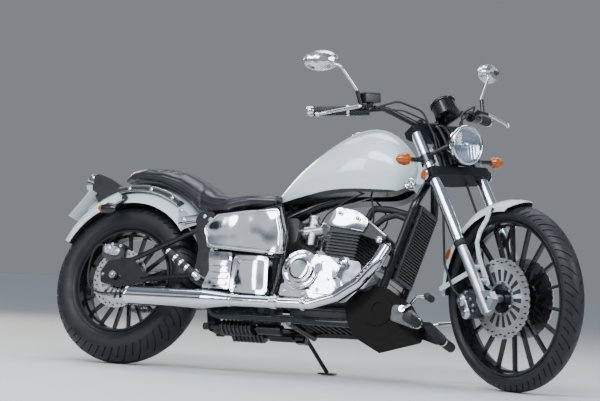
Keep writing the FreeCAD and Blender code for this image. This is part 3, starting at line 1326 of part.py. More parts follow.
def build_steered():
    legs = fork_legs()
    bar = handlebar()
    grip_piece = grip().cut(bar)
    nodes = {"fork_legs": legs}
    nodes["lower_yoke"] = lower_yoke().cut(legs)
    nodes["upper_yoke"] = upper_yoke().cut([legs, bar])
    nodes["handlebar"] = bar
    nodes["grips"] = Part.makeCompound(both_sides(grip_piece))
    controls = [bar_control(True).cut(bar), mirrored(bar_control(False).cut(bar))]
    nodes["bar_controls"] = Part.makeCompound(controls)
    nodes["mirrors"] = Part.makeCompound(both_sides(mirror_unit().cut(controls[0])))
    shell = headlight_shell()
    arm = headlight_arm().cut([legs, headlight_room()])
    indicator = front_indicator().cut(legs)
    nodes["front_indicators"] = Part.makeCompound(both_sides(indicator))
    nodes["headlight"] = fused([shell] + both_sides(arm.cut(indicator)))
    nodes["headlight_lens"] = headlight_lens()
    nodes["speedometer"] = speedometer()
    nodes["front_fender"] = front_fender().cut(legs)
    nodes["front_calipers"] = Part.makeCompound(both_sides(front_caliper().cut(legs)))
    solid = [legs, nodes["lower_yoke"], nodes["upper_yoke"], bar, nodes["front_calipers"],
             nodes["front_fender"], nodes["bar_controls"], nodes["headlight"]]
    nodes["brake_hoses"] = Part.makeCompound([brake_hose(s).cut(solid) for s in (-1, 1)])
    nodes["bar_cables"] = Part.makeCompound(
        [cable.cut(solid + [nodes["speedometer"]]) for s in (-1, 1) for cable in bar_cables(s)])
    return nodes


# Placing the machine as it parks

def lowest_of_tyre(centre, axle, radius, crown):
    """Height of a round-treaded tyre's lowest point, from its axle's centre and direction."""
    ring = radius - crown
    return centre.z - ring * math.sqrt(max(0.0, 1 - axle.z ** 2)) - crown


def fork_placement():
    """Where the fork's frame stands in the upright machine, turned by the steering angle."""
    rake_turn = FreeCAD.Placement(vec(WHEELBASE, 0, FRONT_TYRE_RADIUS), FreeCAD.Rotation(Y, -RAKE))
    steer = FreeCAD.Placement(ORIGIN, FreeCAD.Rotation(Z, -STEER_ANGLE), vec(-FORK_OFFSET, 0, 0))
    return rake_turn.multiply(steer)


def parked_placement():
    """Lean the machine, then pitch and lift it until both tyres touch the ground."""
    fork = fork_placement()
    lean = FreeCAD.Rotation(X, -LEAN)
    pitch = 0.0
    for _ in range(20):
        turn = lean.multiply(FreeCAD.Rotation(Y, math.degrees(pitch)))
        rear = lowest_of_tyre(turn.multVec(vec(0, 0, AXLE_Z)), turn.multVec(Y),
                              REAR_TYRE_RADIUS, REAR_TYRE_CROWN)
        front = lowest_of_tyre(turn.multVec(fork.multVec(ORIGIN)),
                               turn.multVec(fork.Rotation.multVec(Y)),
                               FRONT_TYRE_RADIUS, FRONT_TYRE_CROWN)
        pitch += (front - rear) / WHEELBASE
    turn = lean.multiply(FreeCAD.Rotation(Y, math.degrees(pitch)))
    return FreeCAD.Placement(vec(0, 0, -rear), turn)


def footprint_middle(nodes):
    """The shift that brings the parked machine's footprint to the origin."""
    extent = Part.makeCompound(list(nodes.values())).optimalBoundingBox(False, False)
    return FreeCAD.Placement(vec(-extent.Center.x, -extent.Center.y, 0), FreeCAD.Rotation())


def build():
    """Every node's shape where it stands: chassis, rear wheel, stand, fork and front wheel."""
    nodes = build_upright()
    for name, shape in rear_wheel_nodes().items():
        shape.translate(vec(0, 0, AXLE_Z))
        nodes[name] = shape
    nodes["side_stand"] = side_stand()
    fork = fork_placement()
    for table in (build_steered(), front_wheel_nodes()):
        for name, shape in table.items():
            shape.Placement = fork.multiply(shape.Placement)
            nodes[name] = shape
    parked = parked_placement()
    for shape in nodes.values():
        shape.Placement = parked.multiply(shape.Placement)
    middle = footprint_middle(nodes)
    for shape in nodes.values():
        shape.Placement = middle.multiply(shape.Placement)
    return nodes


if __name__ == "__main__":
    os.makedirs("parts", exist_ok=True)
    for name, shape in build().items():
        shape.exportStep("parts/" + name + ".step")
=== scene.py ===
import bpy
import bmesh
import json
import math
from mathutils import Matrix, Vector


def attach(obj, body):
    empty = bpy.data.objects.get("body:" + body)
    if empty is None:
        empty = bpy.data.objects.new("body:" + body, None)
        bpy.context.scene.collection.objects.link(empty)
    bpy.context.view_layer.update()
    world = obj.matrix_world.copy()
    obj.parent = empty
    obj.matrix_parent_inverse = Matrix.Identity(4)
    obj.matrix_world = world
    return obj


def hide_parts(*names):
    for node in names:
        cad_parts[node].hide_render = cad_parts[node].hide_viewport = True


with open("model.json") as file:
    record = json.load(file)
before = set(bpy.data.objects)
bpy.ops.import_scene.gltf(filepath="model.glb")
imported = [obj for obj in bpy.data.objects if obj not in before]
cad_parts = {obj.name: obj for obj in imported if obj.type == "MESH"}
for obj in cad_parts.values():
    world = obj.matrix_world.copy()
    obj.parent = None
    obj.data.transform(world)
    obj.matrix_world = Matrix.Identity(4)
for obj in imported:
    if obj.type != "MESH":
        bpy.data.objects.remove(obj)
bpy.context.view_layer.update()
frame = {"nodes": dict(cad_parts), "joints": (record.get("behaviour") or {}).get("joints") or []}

NODES = frame["nodes"]
JOINTS = {joint["name"]: joint for joint in frame["joints"]}
MM = 0.001
TAU = 2 * math.pi
RAKE = math.radians(29.0)
REAR_RADIUS = 325.0


# Frames to model in: millimetres, X ahead, Y left, Z up

def at(x, y, z):
    return Matrix.Translation((x, y, z))


def tilted(degrees, axis):
    return Matrix.Rotation(math.radians(degrees), 4, axis)


def axes_matrix(x, y, z, origin):
    """A matrix from the three directions of a frame and its origin in metres."""
    turn = Matrix((x, y, z)).transposed().to_4x4()
    return Matrix.Translation(origin) @ turn @ Matrix.Scale(MM, 4)


def chassis_frame():
    """The upright machine's frame: its origin on the ground under the rear axle."""
    side = Vector(JOINTS["rear_spin"]["axis"]).normalized()
    steer = Vector(JOINTS["steer"]["axis"]).normalized()
    steer = (steer - side * steer.dot(side)).normalized()
    cross = side.cross(steer)
    ahead = cross * math.cos(RAKE) - steer * math.sin(RAKE)
    up = cross * math.sin(RAKE) + steer * math.cos(RAKE)
    axle = Vector(JOINTS["rear_spin"]["pos_m"])
    return axes_matrix(ahead, side, up, axle - up * REAR_RADIUS * MM)


def fork_frame():
    """The fork's frame: origin at the front axle, Z up along the legs."""
    side = Vector(JOINTS["front_spin"]["axis"]).normalized()
    up = Vector(JOINTS["steer"]["axis"]).normalized()
    return axes_matrix(side.cross(up), side, up, Vector(JOINTS["front_spin"]["pos_m"]))


CHASSIS = chassis_frame()
FORK = fork_frame()
REAR_WHEEL = CHASSIS @ at(0, 0, REAR_RADIUS)
FENDER_CENTRE = (33, 0, 350)


# Objects and node trees

def new_object(name, data):
    """An object with this data, linked to the scene."""
    made = bpy.data.objects.new(name, data)
    bpy.context.scene.collection.objects.link(made)
    return made


def mesh_of(bm, name):
    """Turn a finished bmesh into a mesh."""
    mesh = bpy.data.meshes.new(name)
    bm.to_mesh(mesh)
    bm.free()
    return mesh


def evaluated_mesh(piece):
    """A mesh of what an object's curve, text or modifiers make."""
    graph = bpy.context.evaluated_depsgraph_get()
    return bpy.data.meshes.new_from_object(piece.evaluated_get(graph))


class Graph:
    """A node tree being made, with short calls for its nodes."""

    def __init__(self, tree):
        self.tree = tree

    def plug(self, target, given):
        """Feed a socket from another socket, or set it to a value."""
        if isinstance(given, bpy.types.NodeSocket):
            self.tree.links.new(given, target)
        else:
            target.default_value = given

    def node(self, kind, inputs=None, **settings):
        """A node with its settings made and its inputs fed, by name or place."""
        made = self.tree.nodes.new("ShaderNode" + kind)
        for key, value in settings.items():
            setattr(made, key, value)
        for place, given in (inputs or {}).items():
            self.plug(made.inputs[place], given)
        return made

    def number(self, operation, *given):
        """The result of one math node."""
        return self.node("Math", dict(enumerate(given)), operation=operation).outputs["Value"]

    def vector(self, operation, *given):
        """The result of one vector math node, a number where the operation makes one."""
        places = (0, "Scale") if operation == "SCALE" else (0, 1)
        made = self.node("VectorMath", dict(zip(places, given)), operation=operation)
        return made.outputs["Value" if operation in ("DOT_PRODUCT", "LENGTH") else "Vector"]

    def mix(self, mask, first, second, kind="RGBA"):
        """Two colours or numbers blended by a mask."""
        made = self.node("Mix", {"Factor": mask, "A": first, "B": second}, data_type=kind)
        return made.outputs["Result"]


class Group(Graph):
    """A node group being made: its inputs are a position and values with their defaults."""

    INPUT_KIND = {1: "NodeSocketFloat", 3: "NodeSocketVector", 4: "NodeSocketColor"}
    OUTPUT_KIND = {"VALUE": INPUT_KIND[1], "VECTOR": INPUT_KIND[3], "RGBA": INPUT_KIND[4]}

    def __init__(self, name, **inputs):
        super().__init__(bpy.data.node_groups.new(name, "ShaderNodeTree"))
        for label, start in {"position": (0.0, 0.0, 0.0), **inputs}.items():
            kind = self.INPUT_KIND[len(start) if isinstance(start, tuple) else 1]
            socket = self.tree.interface.new_socket(label, in_out="INPUT", socket_type=kind)
            socket.default_value = start
        self.given = self.tree.nodes.new("NodeGroupInput").outputs

    def give(self, **results):
        """Name the outputs, feed them and return the finished group."""
        for label, socket in results.items():
            self.tree.interface.new_socket(label, in_out="OUTPUT",
                                           socket_type=self.OUTPUT_KIND[socket.type])
        out = self.tree.nodes.new("NodeGroupOutput")
        for label, socket in results.items():
            self.plug(out.inputs[label], socket)
        return self.tree


# Camera, light and floor

# The photograph's camera: its turns, its lens and where it stands from the rear axle, in metres
CAMERA_YAW, CAMERA_PITCH, CAMERA_ROLL = (math.radians(turn) for turn in (116.3, 2.3, 2.6))
CAMERA_LENS = 104.9
CAMERA_SENSOR = 36.0
CAMERA_FROM_AXLE = Vector((3.7062, -5.9944, 0.0831))
VIEW_END = 60.0

COOL, WARM = (0.86, 0.93, 1.0), (1.0, 0.88, 0.72)
LIGHTS = [
    # name, place, target, size in metres, power in watts, tint
    ("light_key", (0.6, -3.4, 3.6), (0.1, 0, 0.5), (3.4, 1.2), 215, COOL),
    ("light_top", (-0.4, 0.6, 3.6), (0, 0, 0.4), (4.0, 1.2), 90, COOL),
    ("light_rear", (-4.6, 2.6, 3.0), (0, 0, 0.6), (1.6, 1.8), 120, WARM),
    ("light_front", (4.6, -1.0, 2.6), (0.4, 0, 0.5), (1.2, 2.2), 95, COOL),
    ("light_side", (-2.0, -4.8, 2.4), (-0.2, 0, 0.4), (0.9, 2.0), 60, COOL),
]
BACKDROP = (0.34, 0.365, 0.40, 1)
FLOOR_COLOUR = (0.66, 0.66, 0.65, 1)
FLOOR_SIZE = 30
# Height in the reflected room, from below to above, and its colour there
ROOM_BANDS = [
    (0.0, (0.54, 0.55, 0.56, 1)), (0.21, (0.46, 0.48, 0.51, 1)), (0.28, (0.03, 0.04, 0.05, 1)),
    (0.37, (0.04, 0.05, 0.07, 1)), (0.42, (1.10, 1.18, 1.30, 1)), (0.58, (1.16, 1.22, 1.34, 1)),
    (0.74, (0.12, 0.15, 0.20, 1)), (1.0, (0.42, 0.50, 0.62, 1)),
]
ROOM_STRENGTH = 0.66
BAND_WAVE = 0.22


def place_camera():
    """The photograph's viewpoint, set out from the rear axle."""
    ahead = Vector((math.cos(CAMERA_YAW) * math.cos(CAMERA_PITCH),
                    math.sin(CAMERA_YAW) * math.cos(CAMERA_PITCH), math.sin(CAMERA_PITCH)))
    level = Vector((math.sin(CAMERA_YAW), -math.cos(CAMERA_YAW), 0))
    rise = level.cross(ahead)
    right = level * math.cos(CAMERA_ROLL) + rise * math.sin(CAMERA_ROLL)
    up = rise * math.cos(CAMERA_ROLL) - level * math.sin(CAMERA_ROLL)
    data = bpy.data.cameras.new("camera")
    data.sensor_width = CAMERA_SENSOR
    data.lens = CAMERA_LENS
    data.clip_end = VIEW_END
    camera = new_object("camera", data)
    spot = Vector(JOINTS["rear_spin"]["pos_m"]) + CAMERA_FROM_AXLE
    turn = Matrix((right, up, -ahead)).transposed().to_4x4()
    camera.matrix_world = Matrix.Translation(spot) @ turn
    bpy.context.scene.camera = camera


def area_light(name, spot, target, size, power, tint):
    data = bpy.data.lights.new(name, "AREA")
    data.shape = "RECTANGLE"
    data.size, data.size_y = size
    data.energy = power
    data.color = tint
    aim = Vector(target) - Vector(spot)
    turn = aim.to_track_quat("-Z", "Y").to_matrix().to_4x4()
    new_object(name, data).matrix_world = Matrix.Translation(spot) @ turn


def soft_world():
    """A plain backdrop; what the bright parts reflect is a soft room of pale and dim bands."""
    world = bpy.data.worlds.new("studio")
    bpy.context.scene.world = world
    world.use_nodes = True
    graph = Graph(world.node_tree)
    where = graph.node("TexCoord").outputs["Generated"]
    split = graph.node("SeparateXYZ", {"Vector": where})
    stretch = graph.node("Mapping", {"Vector": where, "Scale": (1.0, 1.0, 0.3)})
    noise = graph.node("TexNoise", {"Vector": stretch.outputs["Vector"], "Scale": 9.0,
                                    "Distortion": 0.6})
    height = graph.number("MULTIPLY_ADD", noise.outputs["Fac"], BAND_WAVE, split.outputs["Z"])
    room = graph.node("ValToRGB", {"Fac": height})
    bands = room.color_ramp.elements
    while len(bands) < len(ROOM_BANDS):
        bands.new(0.5)
    for band, (place, colour) in zip(bands, ROOM_BANDS):
        band.position = place
        band.color = colour
    seen = graph.node("LightPath").outputs["Is Camera Ray"]
    background = world.node_tree.nodes["Background"].inputs
    graph.plug(background["Color"], graph.mix(seen, room.outputs["Color"], BACKDROP))
    background["Strength"].default_value = ROOM_STRENGTH


def pale_floor():
    bm = bmesh.new()
    bmesh.ops.create_grid(bm, x_segments=1, y_segments=1, size=FLOOR_SIZE)
    floor = new_object("floor", mesh_of(bm, "floor"))
    material = bpy.data.materials.new("floor_pale")
    material.use_nodes = True
    shader = material.node_tree.nodes["Principled BSDF"]
    shader.inputs["Base Color"].default_value = FLOOR_COLOUR
    shader.inputs["Roughness"].default_value = 0.75
    floor.data.materials.append(material)


place_camera()
for row in LIGHTS:
    area_light(*row)
soft_world()
pale_floor()


# Node groups of the materials

def wear_group():
    """Colour and roughness that vary softly over a surface, with a fine bump."""
    group = Group("surface_wear", scale=40.0, colour=(0.5, 0.5, 0.5, 1.0),
                  dust=(0.5, 0.5, 0.5, 1.0), amount=0.1, rough_low=0.3, rough_high=0.5,
                  grain=400.0, depth=0.0, height=0.001, detail=3.0)
    given = group.given
    noise = group.node("TexNoise", {"Vector": given["position"], "Scale": given["scale"],
                                    "Detail": 5.0})
    spread = group.node("MapRange", {"Value": noise.outputs["Fac"], "From Min": 0.35,
                                     "From Max": 0.68}).outputs["Result"]
    share = group.number("MULTIPLY", spread, given["amount"])
    rough = group.node("MapRange", {"Value": spread, "To Min": given["rough_low"],
                                    "To Max": given["rough_high"]})
    grain = group.node("TexNoise", {"Vector": given["position"], "Scale": given["grain"],
                                    "Detail": given["detail"]})
    bump = group.node("Bump", {"Height": grain.outputs["Fac"], "Distance": given["height"],
                               "Strength": given["depth"]})
    return group.give(colour=group.mix(share, given["colour"], given["dust"]),
                      roughness=rough.outputs["Result"], normal=bump.outputs["Normal"])


def plane_group():
    """Where a point lies past a slanted plane of a frame, both sides of the machine alike."""
    group = Group("past_plane", origin=(0.0, 0.0, 0.0), ahead=(1.0, 0.0, 0.0),
                  side=(0.0, 1.0, 0.0), up=(0.0, 0.0, 1.0), weights=(0.0, 0.0, 1.0), limit=0.0)
    given = group.given
    spot = group.vector("SUBTRACT", given["position"], given["origin"])
    ahead, side, up = (group.vector("DOT_PRODUCT", spot, given[axis])
                       for axis in ("ahead", "side", "up"))
    joined = group.node("CombineXYZ", {0: ahead, 1: group.number("ABSOLUTE", side), 2: up})
    reach = group.vector("DOT_PRODUCT", joined.outputs["Vector"], given["weights"])
    return group.give(mask=group.number("GREATER_THAN", reach, given["limit"]))


def ring_group():
    """Distance from an axle, and fine turned rings round it."""
    group = Group("turned_rings", origin=(0.0, 0.0, 0.0), side=(0.0, 1.0, 0.0), pitch=0.002)
    given = group.given
    spot = group.vector("SUBTRACT", given["position"], given["origin"])
    along = group.vector("DOT_PRODUCT", spot, given["side"])
    radial = group.vector("SUBTRACT", spot, group.vector("SCALE", given["side"], along))
    radius = group.vector("LENGTH", radial)
    turns = group.number("DIVIDE", radius, given["pitch"])
    return group.give(radius=radius, rings=group.number("PINGPONG", turns, 1.0), radial=radial)


WEAR = wear_group()
PAST_PLANE = plane_group()
RINGS = ring_group()


# Kinds of finish

MATERIALS = {}


class Finish(Graph):
    """A material being made; it is kept in MATERIALS."""

    def __init__(self, name):
        MATERIALS[name] = bpy.data.materials.new(name)
        MATERIALS[name].use_nodes = True
        super().__init__(MATERIALS[name].node_tree)
        self.inputs = self.tree.nodes["Principled BSDF"].inputs
        self.coords = self.node("TexCoord").outputs

    def use(self, group, **inputs):
        """The outputs of a node group, read at the object's own coordinates."""
        return self.node("Group", {"position": self.coords["Object"], **inputs},
                         node_tree=group).outputs

    def feed(self, values):
        """Feed or set inputs of the shader."""
        for label, given in values.items():
            self.plug(self.inputs[label], given)

    def cover(self, mask, values):
        """Change inputs of the shader where a mask is 1."""
        for label, given in values.items():
            target = self.inputs[label]
            before = target.links[0].from_socket if target.links else target.default_value
            kind = "RGBA" if label == "Base Color" else "FLOAT"
            self.plug(target, self.mix(mask, before, given, kind))


def worn(name, colour, dust, amount, rough, scale=40.0, grain=400.0, depth=0.0, height=0.001,
         detail=3.0, metallic=0.0, coat=0.0, coat_rough=0.05, specular=0.5):
    """A finish whose colour, gloss and fine surface come from the wear group."""
    finish = Finish(name)
    wear = finish.use(WEAR, scale=scale, colour=(*colour, 1), dust=(*dust, 1), amount=amount,
                      rough_low=rough[0], rough_high=rough[1], grain=grain, depth=depth,
                      height=height, detail=detail)
    finish.feed({"Base Color": wear["colour"], "Roughness": wear["roughness"],
                 "Normal": wear["normal"], "Metallic": metallic, "Coat Weight": coat,
                 "Coat Roughness": coat_rough, "Specular IOR Level": specular})
    return finish


def axis_of(matrix, column):
    return tuple(matrix.col[column].to_3d().normalized())


def two_tone(name, matrix, weights, limit, base, far, **settings):
    """A finish that changes past a plane: (colour, dust, roughness, metallic) on each side."""
    finish = worn(name, base[0], base[1], 0.4, base[2], metallic=base[3], **settings)
    past = finish.use(PAST_PLANE, origin=tuple(matrix.translation), ahead=axis_of(matrix, 0),
                      side=axis_of(matrix, 1), up=axis_of(matrix, 2), weights=weights,
                      limit=limit * MM)
    other = finish.use(WEAR, scale=30.0, colour=(*far[0], 1), dust=(*far[1], 1), amount=0.4,
                       rough_low=far[2][0], rough_high=far[2][1])
    finish.cover(past["mask"], {"Base Color": other["colour"], "Roughness": other["roughness"]})
    if base[3] != far[3]:
        finish.cover(past["mask"], {"Metallic": far[3]})


# How much of its darker tint a disc shows on its swept track and in its turned rings
TRACK_SHADE, RING_SHADE = 0.28, 0.2
# Painted shade under the tank: where it faces this far down, or inwards between its lips, it is
# painted near black
SHADE_FACING_DOWN, SHADE_FACING_INWARD = -0.53, -0.008


def disc_steel(name, matrix, middle, half):
    """Ground steel with fine turned rings and a darker swept track inside the edge."""
    finish = worn(name, (0.62, 0.63, 0.65), (0.46, 0.46, 0.46), 0.4, (0.28, 0.38), scale=60.0,
                  grain=900.0, metallic=1.0)
    rings = finish.use(RINGS, origin=tuple(matrix.translation), side=axis_of(matrix, 1),
                       pitch=0.0016)
    swept = finish.number("COMPARE", rings["radius"], middle * MM, half * MM)
    lines = finish.number("MULTIPLY", rings["rings"], RING_SHADE)
    share = finish.number("MULTIPLY_ADD", swept, TRACK_SHADE, lines)
    finish.cover(share, {"Base Color": (0.30, 0.27, 0.25, 1)})


def neck_front():
    """How far ahead the headstock's tube starts, measured square to the steering axis."""
    stem = CHASSIS.inverted() @ Vector(JOINTS["steer"]["pos_m"])
    return stem.x * math.cos(RAKE) + stem.z * math.sin(RAKE) - 30.0


def tank_paint_and_shade(name):
    """White tank whose underside, between its lower lips, is painted near black as painted shade.
    """
    finish = worn(name, *WHITE, **WHITE_SURFACE)
    normal, side = finish.coords["Normal"], axis_of(CHASSIS, 1)
    facing = finish.vector("DOT_PRODUCT", normal, axis_of(CHASSIS, 2))
    under = finish.number("LESS_THAN", facing, SHADE_FACING_DOWN)
    spot = finish.vector("SUBTRACT", finish.coords["Object"], tuple(CHASSIS.translation))
    beside = finish.vector("DOT_PRODUCT", spot, side)
    outward = finish.vector("DOT_PRODUCT", normal, side)
    inward = finish.number("LESS_THAN", finish.number("MULTIPLY", beside, outward),
                           SHADE_FACING_INWARD)
    # Painted shade: near black where the tank faces down or inwards between its lips
    finish.cover(finish.number("MAXIMUM", under, inward),
                 {"Base Color": (0.012, 0.012, 0.014, 1), "Coat Weight": 0.0})


def fender_paint(name, matrix, middle):
    """White outside; the side that faces the tyre is dark brown."""
    finish = worn(name, *WHITE, **WHITE_SURFACE)
    centre = tuple(matrix.translation)
    rings = finish.use(RINGS, origin=centre, side=axis_of(matrix, 1))
    share = finish.number("SUBTRACT", 1.0,
                          finish.number("DIVIDE", middle * MM, rings["radius"]))
    spot = finish.vector("SUBTRACT", finish.coords["Object"], centre)
    across = finish.vector("SUBTRACT", spot, rings["radial"])
    outward = finish.vector("ADD", finish.vector("SCALE", rings["radial"], share), across)
    facing = finish.vector("DOT_PRODUCT", finish.coords["Normal"], outward)
    finish.cover(finish.number("LESS_THAN", facing, 0.0),
                 {"Base Color": (0.045, 0.034, 0.028, 1), "Roughness": 0.8, "Coat Weight": 0.0})


def clear_glass(name):
    Finish(name).feed({"Base Color": (0.95, 0.97, 1.0, 1), "Roughness": 0.03,
                       "Transmission Weight": 0.95, "IOR": 1.42})


# The materials: colour, dust, share of dust, roughness from and to

WHITE = ((0.72, 0.82, 0.84), (0.66, 0.76, 0.78), 0.35, (0.16, 0.24))
WHITE_SURFACE = {"scale": 6.0, "grain": 1500.0, "depth": 0.02, "coat": 1.0}
# Tones of the two-tone finishes: colour, dust, roughness from and to, metallic
BARE_WHITE = (WHITE[0], WHITE[1], WHITE[3], 0.0)
BLACK = ((0.004, 0.0045, 0.006), (0.009, 0.010, 0.012), (0.22, 0.32), 0.0)
CHROME = ((0.78, 0.80, 0.83), (0.62, 0.64, 0.68), (0.04, 0.10), 1.0)
AMBER = ((0.44, 0.085, 0.0), (0.30, 0.05, 0.0), (0.14, 0.22), 0.0)
STEM = (CHROME[0], CHROME[1], (0.18, 0.24), 1.0)
SATIN = ((0.56, 0.59, 0.63), (0.46, 0.48, 0.51), (0.34, 0.42), 1.0)
SLEEVE = ((0.76, 0.79, 0.84), (0.66, 0.69, 0.73), (0.14, 0.22), 1.0)
CAST = ((0.36, 0.37, 0.39), (0.20, 0.20, 0.20), (0.3, 0.44), 1.0)
CAST_DARK = ((0.008, 0.008, 0.009), (0.02, 0.019, 0.018), (0.5, 0.6), 0.0)
PLATING = (CHROME[0], CHROME[1], 0.5, CHROME[2])
SQUARE_TO_NECK = (math.cos(RAKE), 0.0, math.sin(RAKE))
AHEAD_OUT, OUT, ABOVE = (0.6, 0.8, 0.0), (0.0, 1.0, 0.0), (0.0, 0.0, 1.0)
BEHIND, BELOW = (-1.0, 0.0, 0.0), (0.0, 0.0, -1.0)

fender_paint("rear_fender_paint", CHASSIS @ at(*FENDER_CENTRE), 324)
fender_paint("front_fender_paint", FORK, 312)
tank_paint_and_shade("tank_paint_and_shade")
two_tone("neck_paint", CHASSIS, SQUARE_TO_NECK, neck_front(), BARE_WHITE, BLACK, coat=0.6)
worn("black_gloss", BLACK[0], BLACK[1], 0.4, BLACK[2], scale=30.0, coat=0.25, specular=0.35)
worn("engine_black", (0.008, 0.008, 0.009), (0.026, 0.025, 0.024), 0.5, (0.34, 0.5), scale=60.0,
     grain=700.0, depth=0.2)
two_tone("cast_grey", CHASSIS, BELOW, -262, CAST, CAST_DARK, scale=35.0, specular=0.3)
worn("chrome", *PLATING, scale=12.0, grain=13.0, depth=0.9, metallic=1.0)
worn("chrome_panel", *PLATING, scale=12.0, grain=8.0, depth=1.0, height=0.017, detail=0.7,
     metallic=1.0)
two_tone("lamp_chrome", FORK, OUT, 66, CHROME, BLACK)
# The headlight reflector is tinted blue: a painted reflection of the bluish sky in the lamp
worn("reflector", (0.42, 0.50, 0.60), (0.30, 0.38, 0.50), 0.6, (0.05, 0.12), scale=22.0,
     metallic=1.0)
worn("reservoir_grey", (0.050, 0.042, 0.046), (0.07, 0.06, 0.062), 0.4, (0.4, 0.5))
worn("spring_black", (0.02, 0.02, 0.022), (0.06, 0.058, 0.055), 0.5, (0.3, 0.42), scale=50.0,
     coat=0.3)
worn("mirror_bright", (0.90, 0.92, 0.94), (0.86, 0.88, 0.9), 0.3, (0.01, 0.04), scale=12.0,
     metallic=1.0)
worn("alloy", (0.58, 0.59, 0.61), (0.40, 0.40, 0.41), 0.5, (0.24, 0.38), scale=45.0, grain=500.0,
     depth=0.06, metallic=1.0)
worn("caliper_grey", (0.05, 0.053, 0.06), (0.09, 0.09, 0.09), 0.5, (0.36, 0.5), scale=45.0,
     metallic=0.6)
worn("caliper_silver", (0.62, 0.65, 0.69), (0.48, 0.50, 0.53), 0.4, (0.26, 0.36), scale=30.0,
     metallic=1.0)
worn("steel", (0.48, 0.48, 0.49), (0.33, 0.31, 0.29), 0.5, (0.24, 0.4), scale=50.0, metallic=1.0)
disc_steel("front_disc_steel", FORK, 127, 17)
disc_steel("rear_disc_steel", REAR_WHEEL, 105, 12)
worn("plastic", (0.009, 0.009, 0.010), (0.028, 0.028, 0.028), 0.4, (0.36, 0.5), grain=1400.0,
     depth=0.25)
worn("pan_brown", (0.0060, 0.0045, 0.0035), (0.012, 0.009, 0.007), 0.4, (0.60, 0.7), scale=25.0,
     specular=0.12)
worn("yoke_black", (0.004, 0.0045, 0.006), (0.008, 0.008, 0.010), 0.4, (0.5, 0.6), scale=25.0,
     specular=0.2)
worn("rubber", (0.008, 0.008, 0.009), (0.03, 0.028, 0.026), 0.4, (0.48, 0.68), scale=35.0,
     grain=900.0, depth=0.3)
worn("tyre", (0.0065, 0.008, 0.010), (0.026, 0.027, 0.028), 0.4, (0.42, 0.62), scale=22.0,
     grain=600.0, depth=0.25, specular=0.4)
worn("leather", (0.012, 0.010, 0.014), (0.024, 0.020, 0.026), 0.4, (0.30, 0.40), scale=30.0,
     grain=520.0, depth=0.3, coat=0.4, coat_rough=0.28)
worn("strap_leather", (0.010, 0.006, 0.006), (0.03, 0.02, 0.018), 0.5, (0.34, 0.5), scale=60.0,
     grain=500.0, depth=0.5, coat=0.2)
worn("thread", (0.55, 0.54, 0.52), (0.35, 0.34, 0.32), 0.5, (0.5, 0.7), scale=200.0,
     grain=2500.0, depth=0.3)
worn("amber", AMBER[0], AMBER[1], 0.3, AMBER[2], coat=0.6)
worn("red_lens", (0.42, 0.010, 0.008), (0.34, 0.008, 0.008), 0.3, (0.10, 0.18), coat=0.6)
worn("plate_blank", (0.66, 0.68, 0.68), (0.56, 0.57, 0.56), 0.4, (0.3, 0.45), grain=1200.0,
     depth=0.05)
worn("dial_black", (0.010, 0.010, 0.011), (0.03, 0.03, 0.03), 0.3, (0.5, 0.6))
worn("dial_white", (0.80, 0.80, 0.78), (0.72, 0.72, 0.70), 0.3, (0.4, 0.5))
two_tone("front_lamps", FORK, OUT, 197, BLACK, AMBER, coat=0.5)
two_tone("rear_lamps", CHASSIS, BEHIND, 84, BLACK, AMBER, coat=0.5)
two_tone("lever_chrome", FORK, AHEAD_OUT, 222, BLACK, CHROME, grain=1200.0, depth=0.1)
two_tone("mirror_stem", FORK, ABOVE, 929, BLACK, STEM)
two_tone("fork_silver", FORK, ABOVE, 244, SATIN, SLEEVE)
two_tone("foot_chrome", CHASSIS, OUT, 126, BLACK, CHROME)
clear_glass("clear_glass")

NODE_FINISH = {
    "yoke_black": "lower_yoke upper_yoke",
    "tank_paint_and_shade": "fuel_tank",
    "neck_paint": "frame_neck",
    "rear_fender_paint": "rear_fender",
    "front_fender_paint": "front_fender",
    "black_gloss": "frame_backbone frame_downtubes frame_cradle frame_seat_posts swingarm "
                   "rear_rim front_rim stand_bracket side_stand handlebar under_shocks "
                   "centre_box speedometer",
    "chrome": "exhaust_muffler exhaust_header passenger_pegs",
    "chrome_panel": "side_covers lower_covers fender_brackets head_cover engine_cover_right "
                    "engine_cover_left",
    "lamp_chrome": "headlight",
    "foot_chrome": "foot_controls",
    "fork_silver": "fork_legs",
    "alloy": "carburettors",
    "caliper_grey": "front_calipers rear_caliper",
    "engine_black": "cylinder_barrels cylinder_head radiator",
    "cast_grey": "crankcase",
    "steel": "rear_sprocket drive_chain axle_and_pivot",
    "front_disc_steel": "front_discs",
    "rear_disc_steel": "rear_disc",
    "plastic": "air_box tail_lamp",
    "pan_brown": "belly_pan",
    "front_lamps": "front_indicators",
    "rear_lamps": "rear_indicators",
    "lever_chrome": "bar_controls",
    "mirror_stem": "mirrors",
    "rubber": "grips coolant_hoses brake_hoses bar_cables",
    "tyre": "front_tyre rear_tyre",
    "leather": "seat",
    "strap_leather": "rear_fender_straps",
    "clear_glass": "headlight_lens",
    "plate_blank": "number_plate",
}


def dress(mesh, finish):
    """Give a mesh one material."""
    mesh.materials.clear()
    mesh.materials.append(MATERIALS[finish])


for finish, names in NODE_FINISH.items():
    for name in names.split():
        dress(NODES[name].data, finish)


# Modelling helpers

RIGHT, LEFT, AHEAD, REAR = (0, -1, 0), (0, 1, 0), (1, 0, 0), (-1, 0, 0)
UP = (0, 0, 1)


def add_piece(name, bm, finish, body, matrix, sharp=32, node=None):
    """Place a mesh made in millimetres, close it, turn it outwards, dress it and let it ride."""
    bmesh.ops.transform(bm, matrix=matrix, verts=bm.verts)
    bmesh.ops.remove_doubles(bm, verts=bm.verts, dist=2e-6)
    bmesh.ops.recalc_face_normals(bm, faces=bm.faces)
    mesh = mesh_of(bm, name)
    mesh.polygons.foreach_set("use_smooth", [True] * len(mesh.polygons))
    mesh.set_sharp_from_angle(angle=math.radians(sharp))
    dress(mesh, finish)
    piece = new_object(name, mesh)
    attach(piece, body)
    if node:
        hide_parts(*node.split())


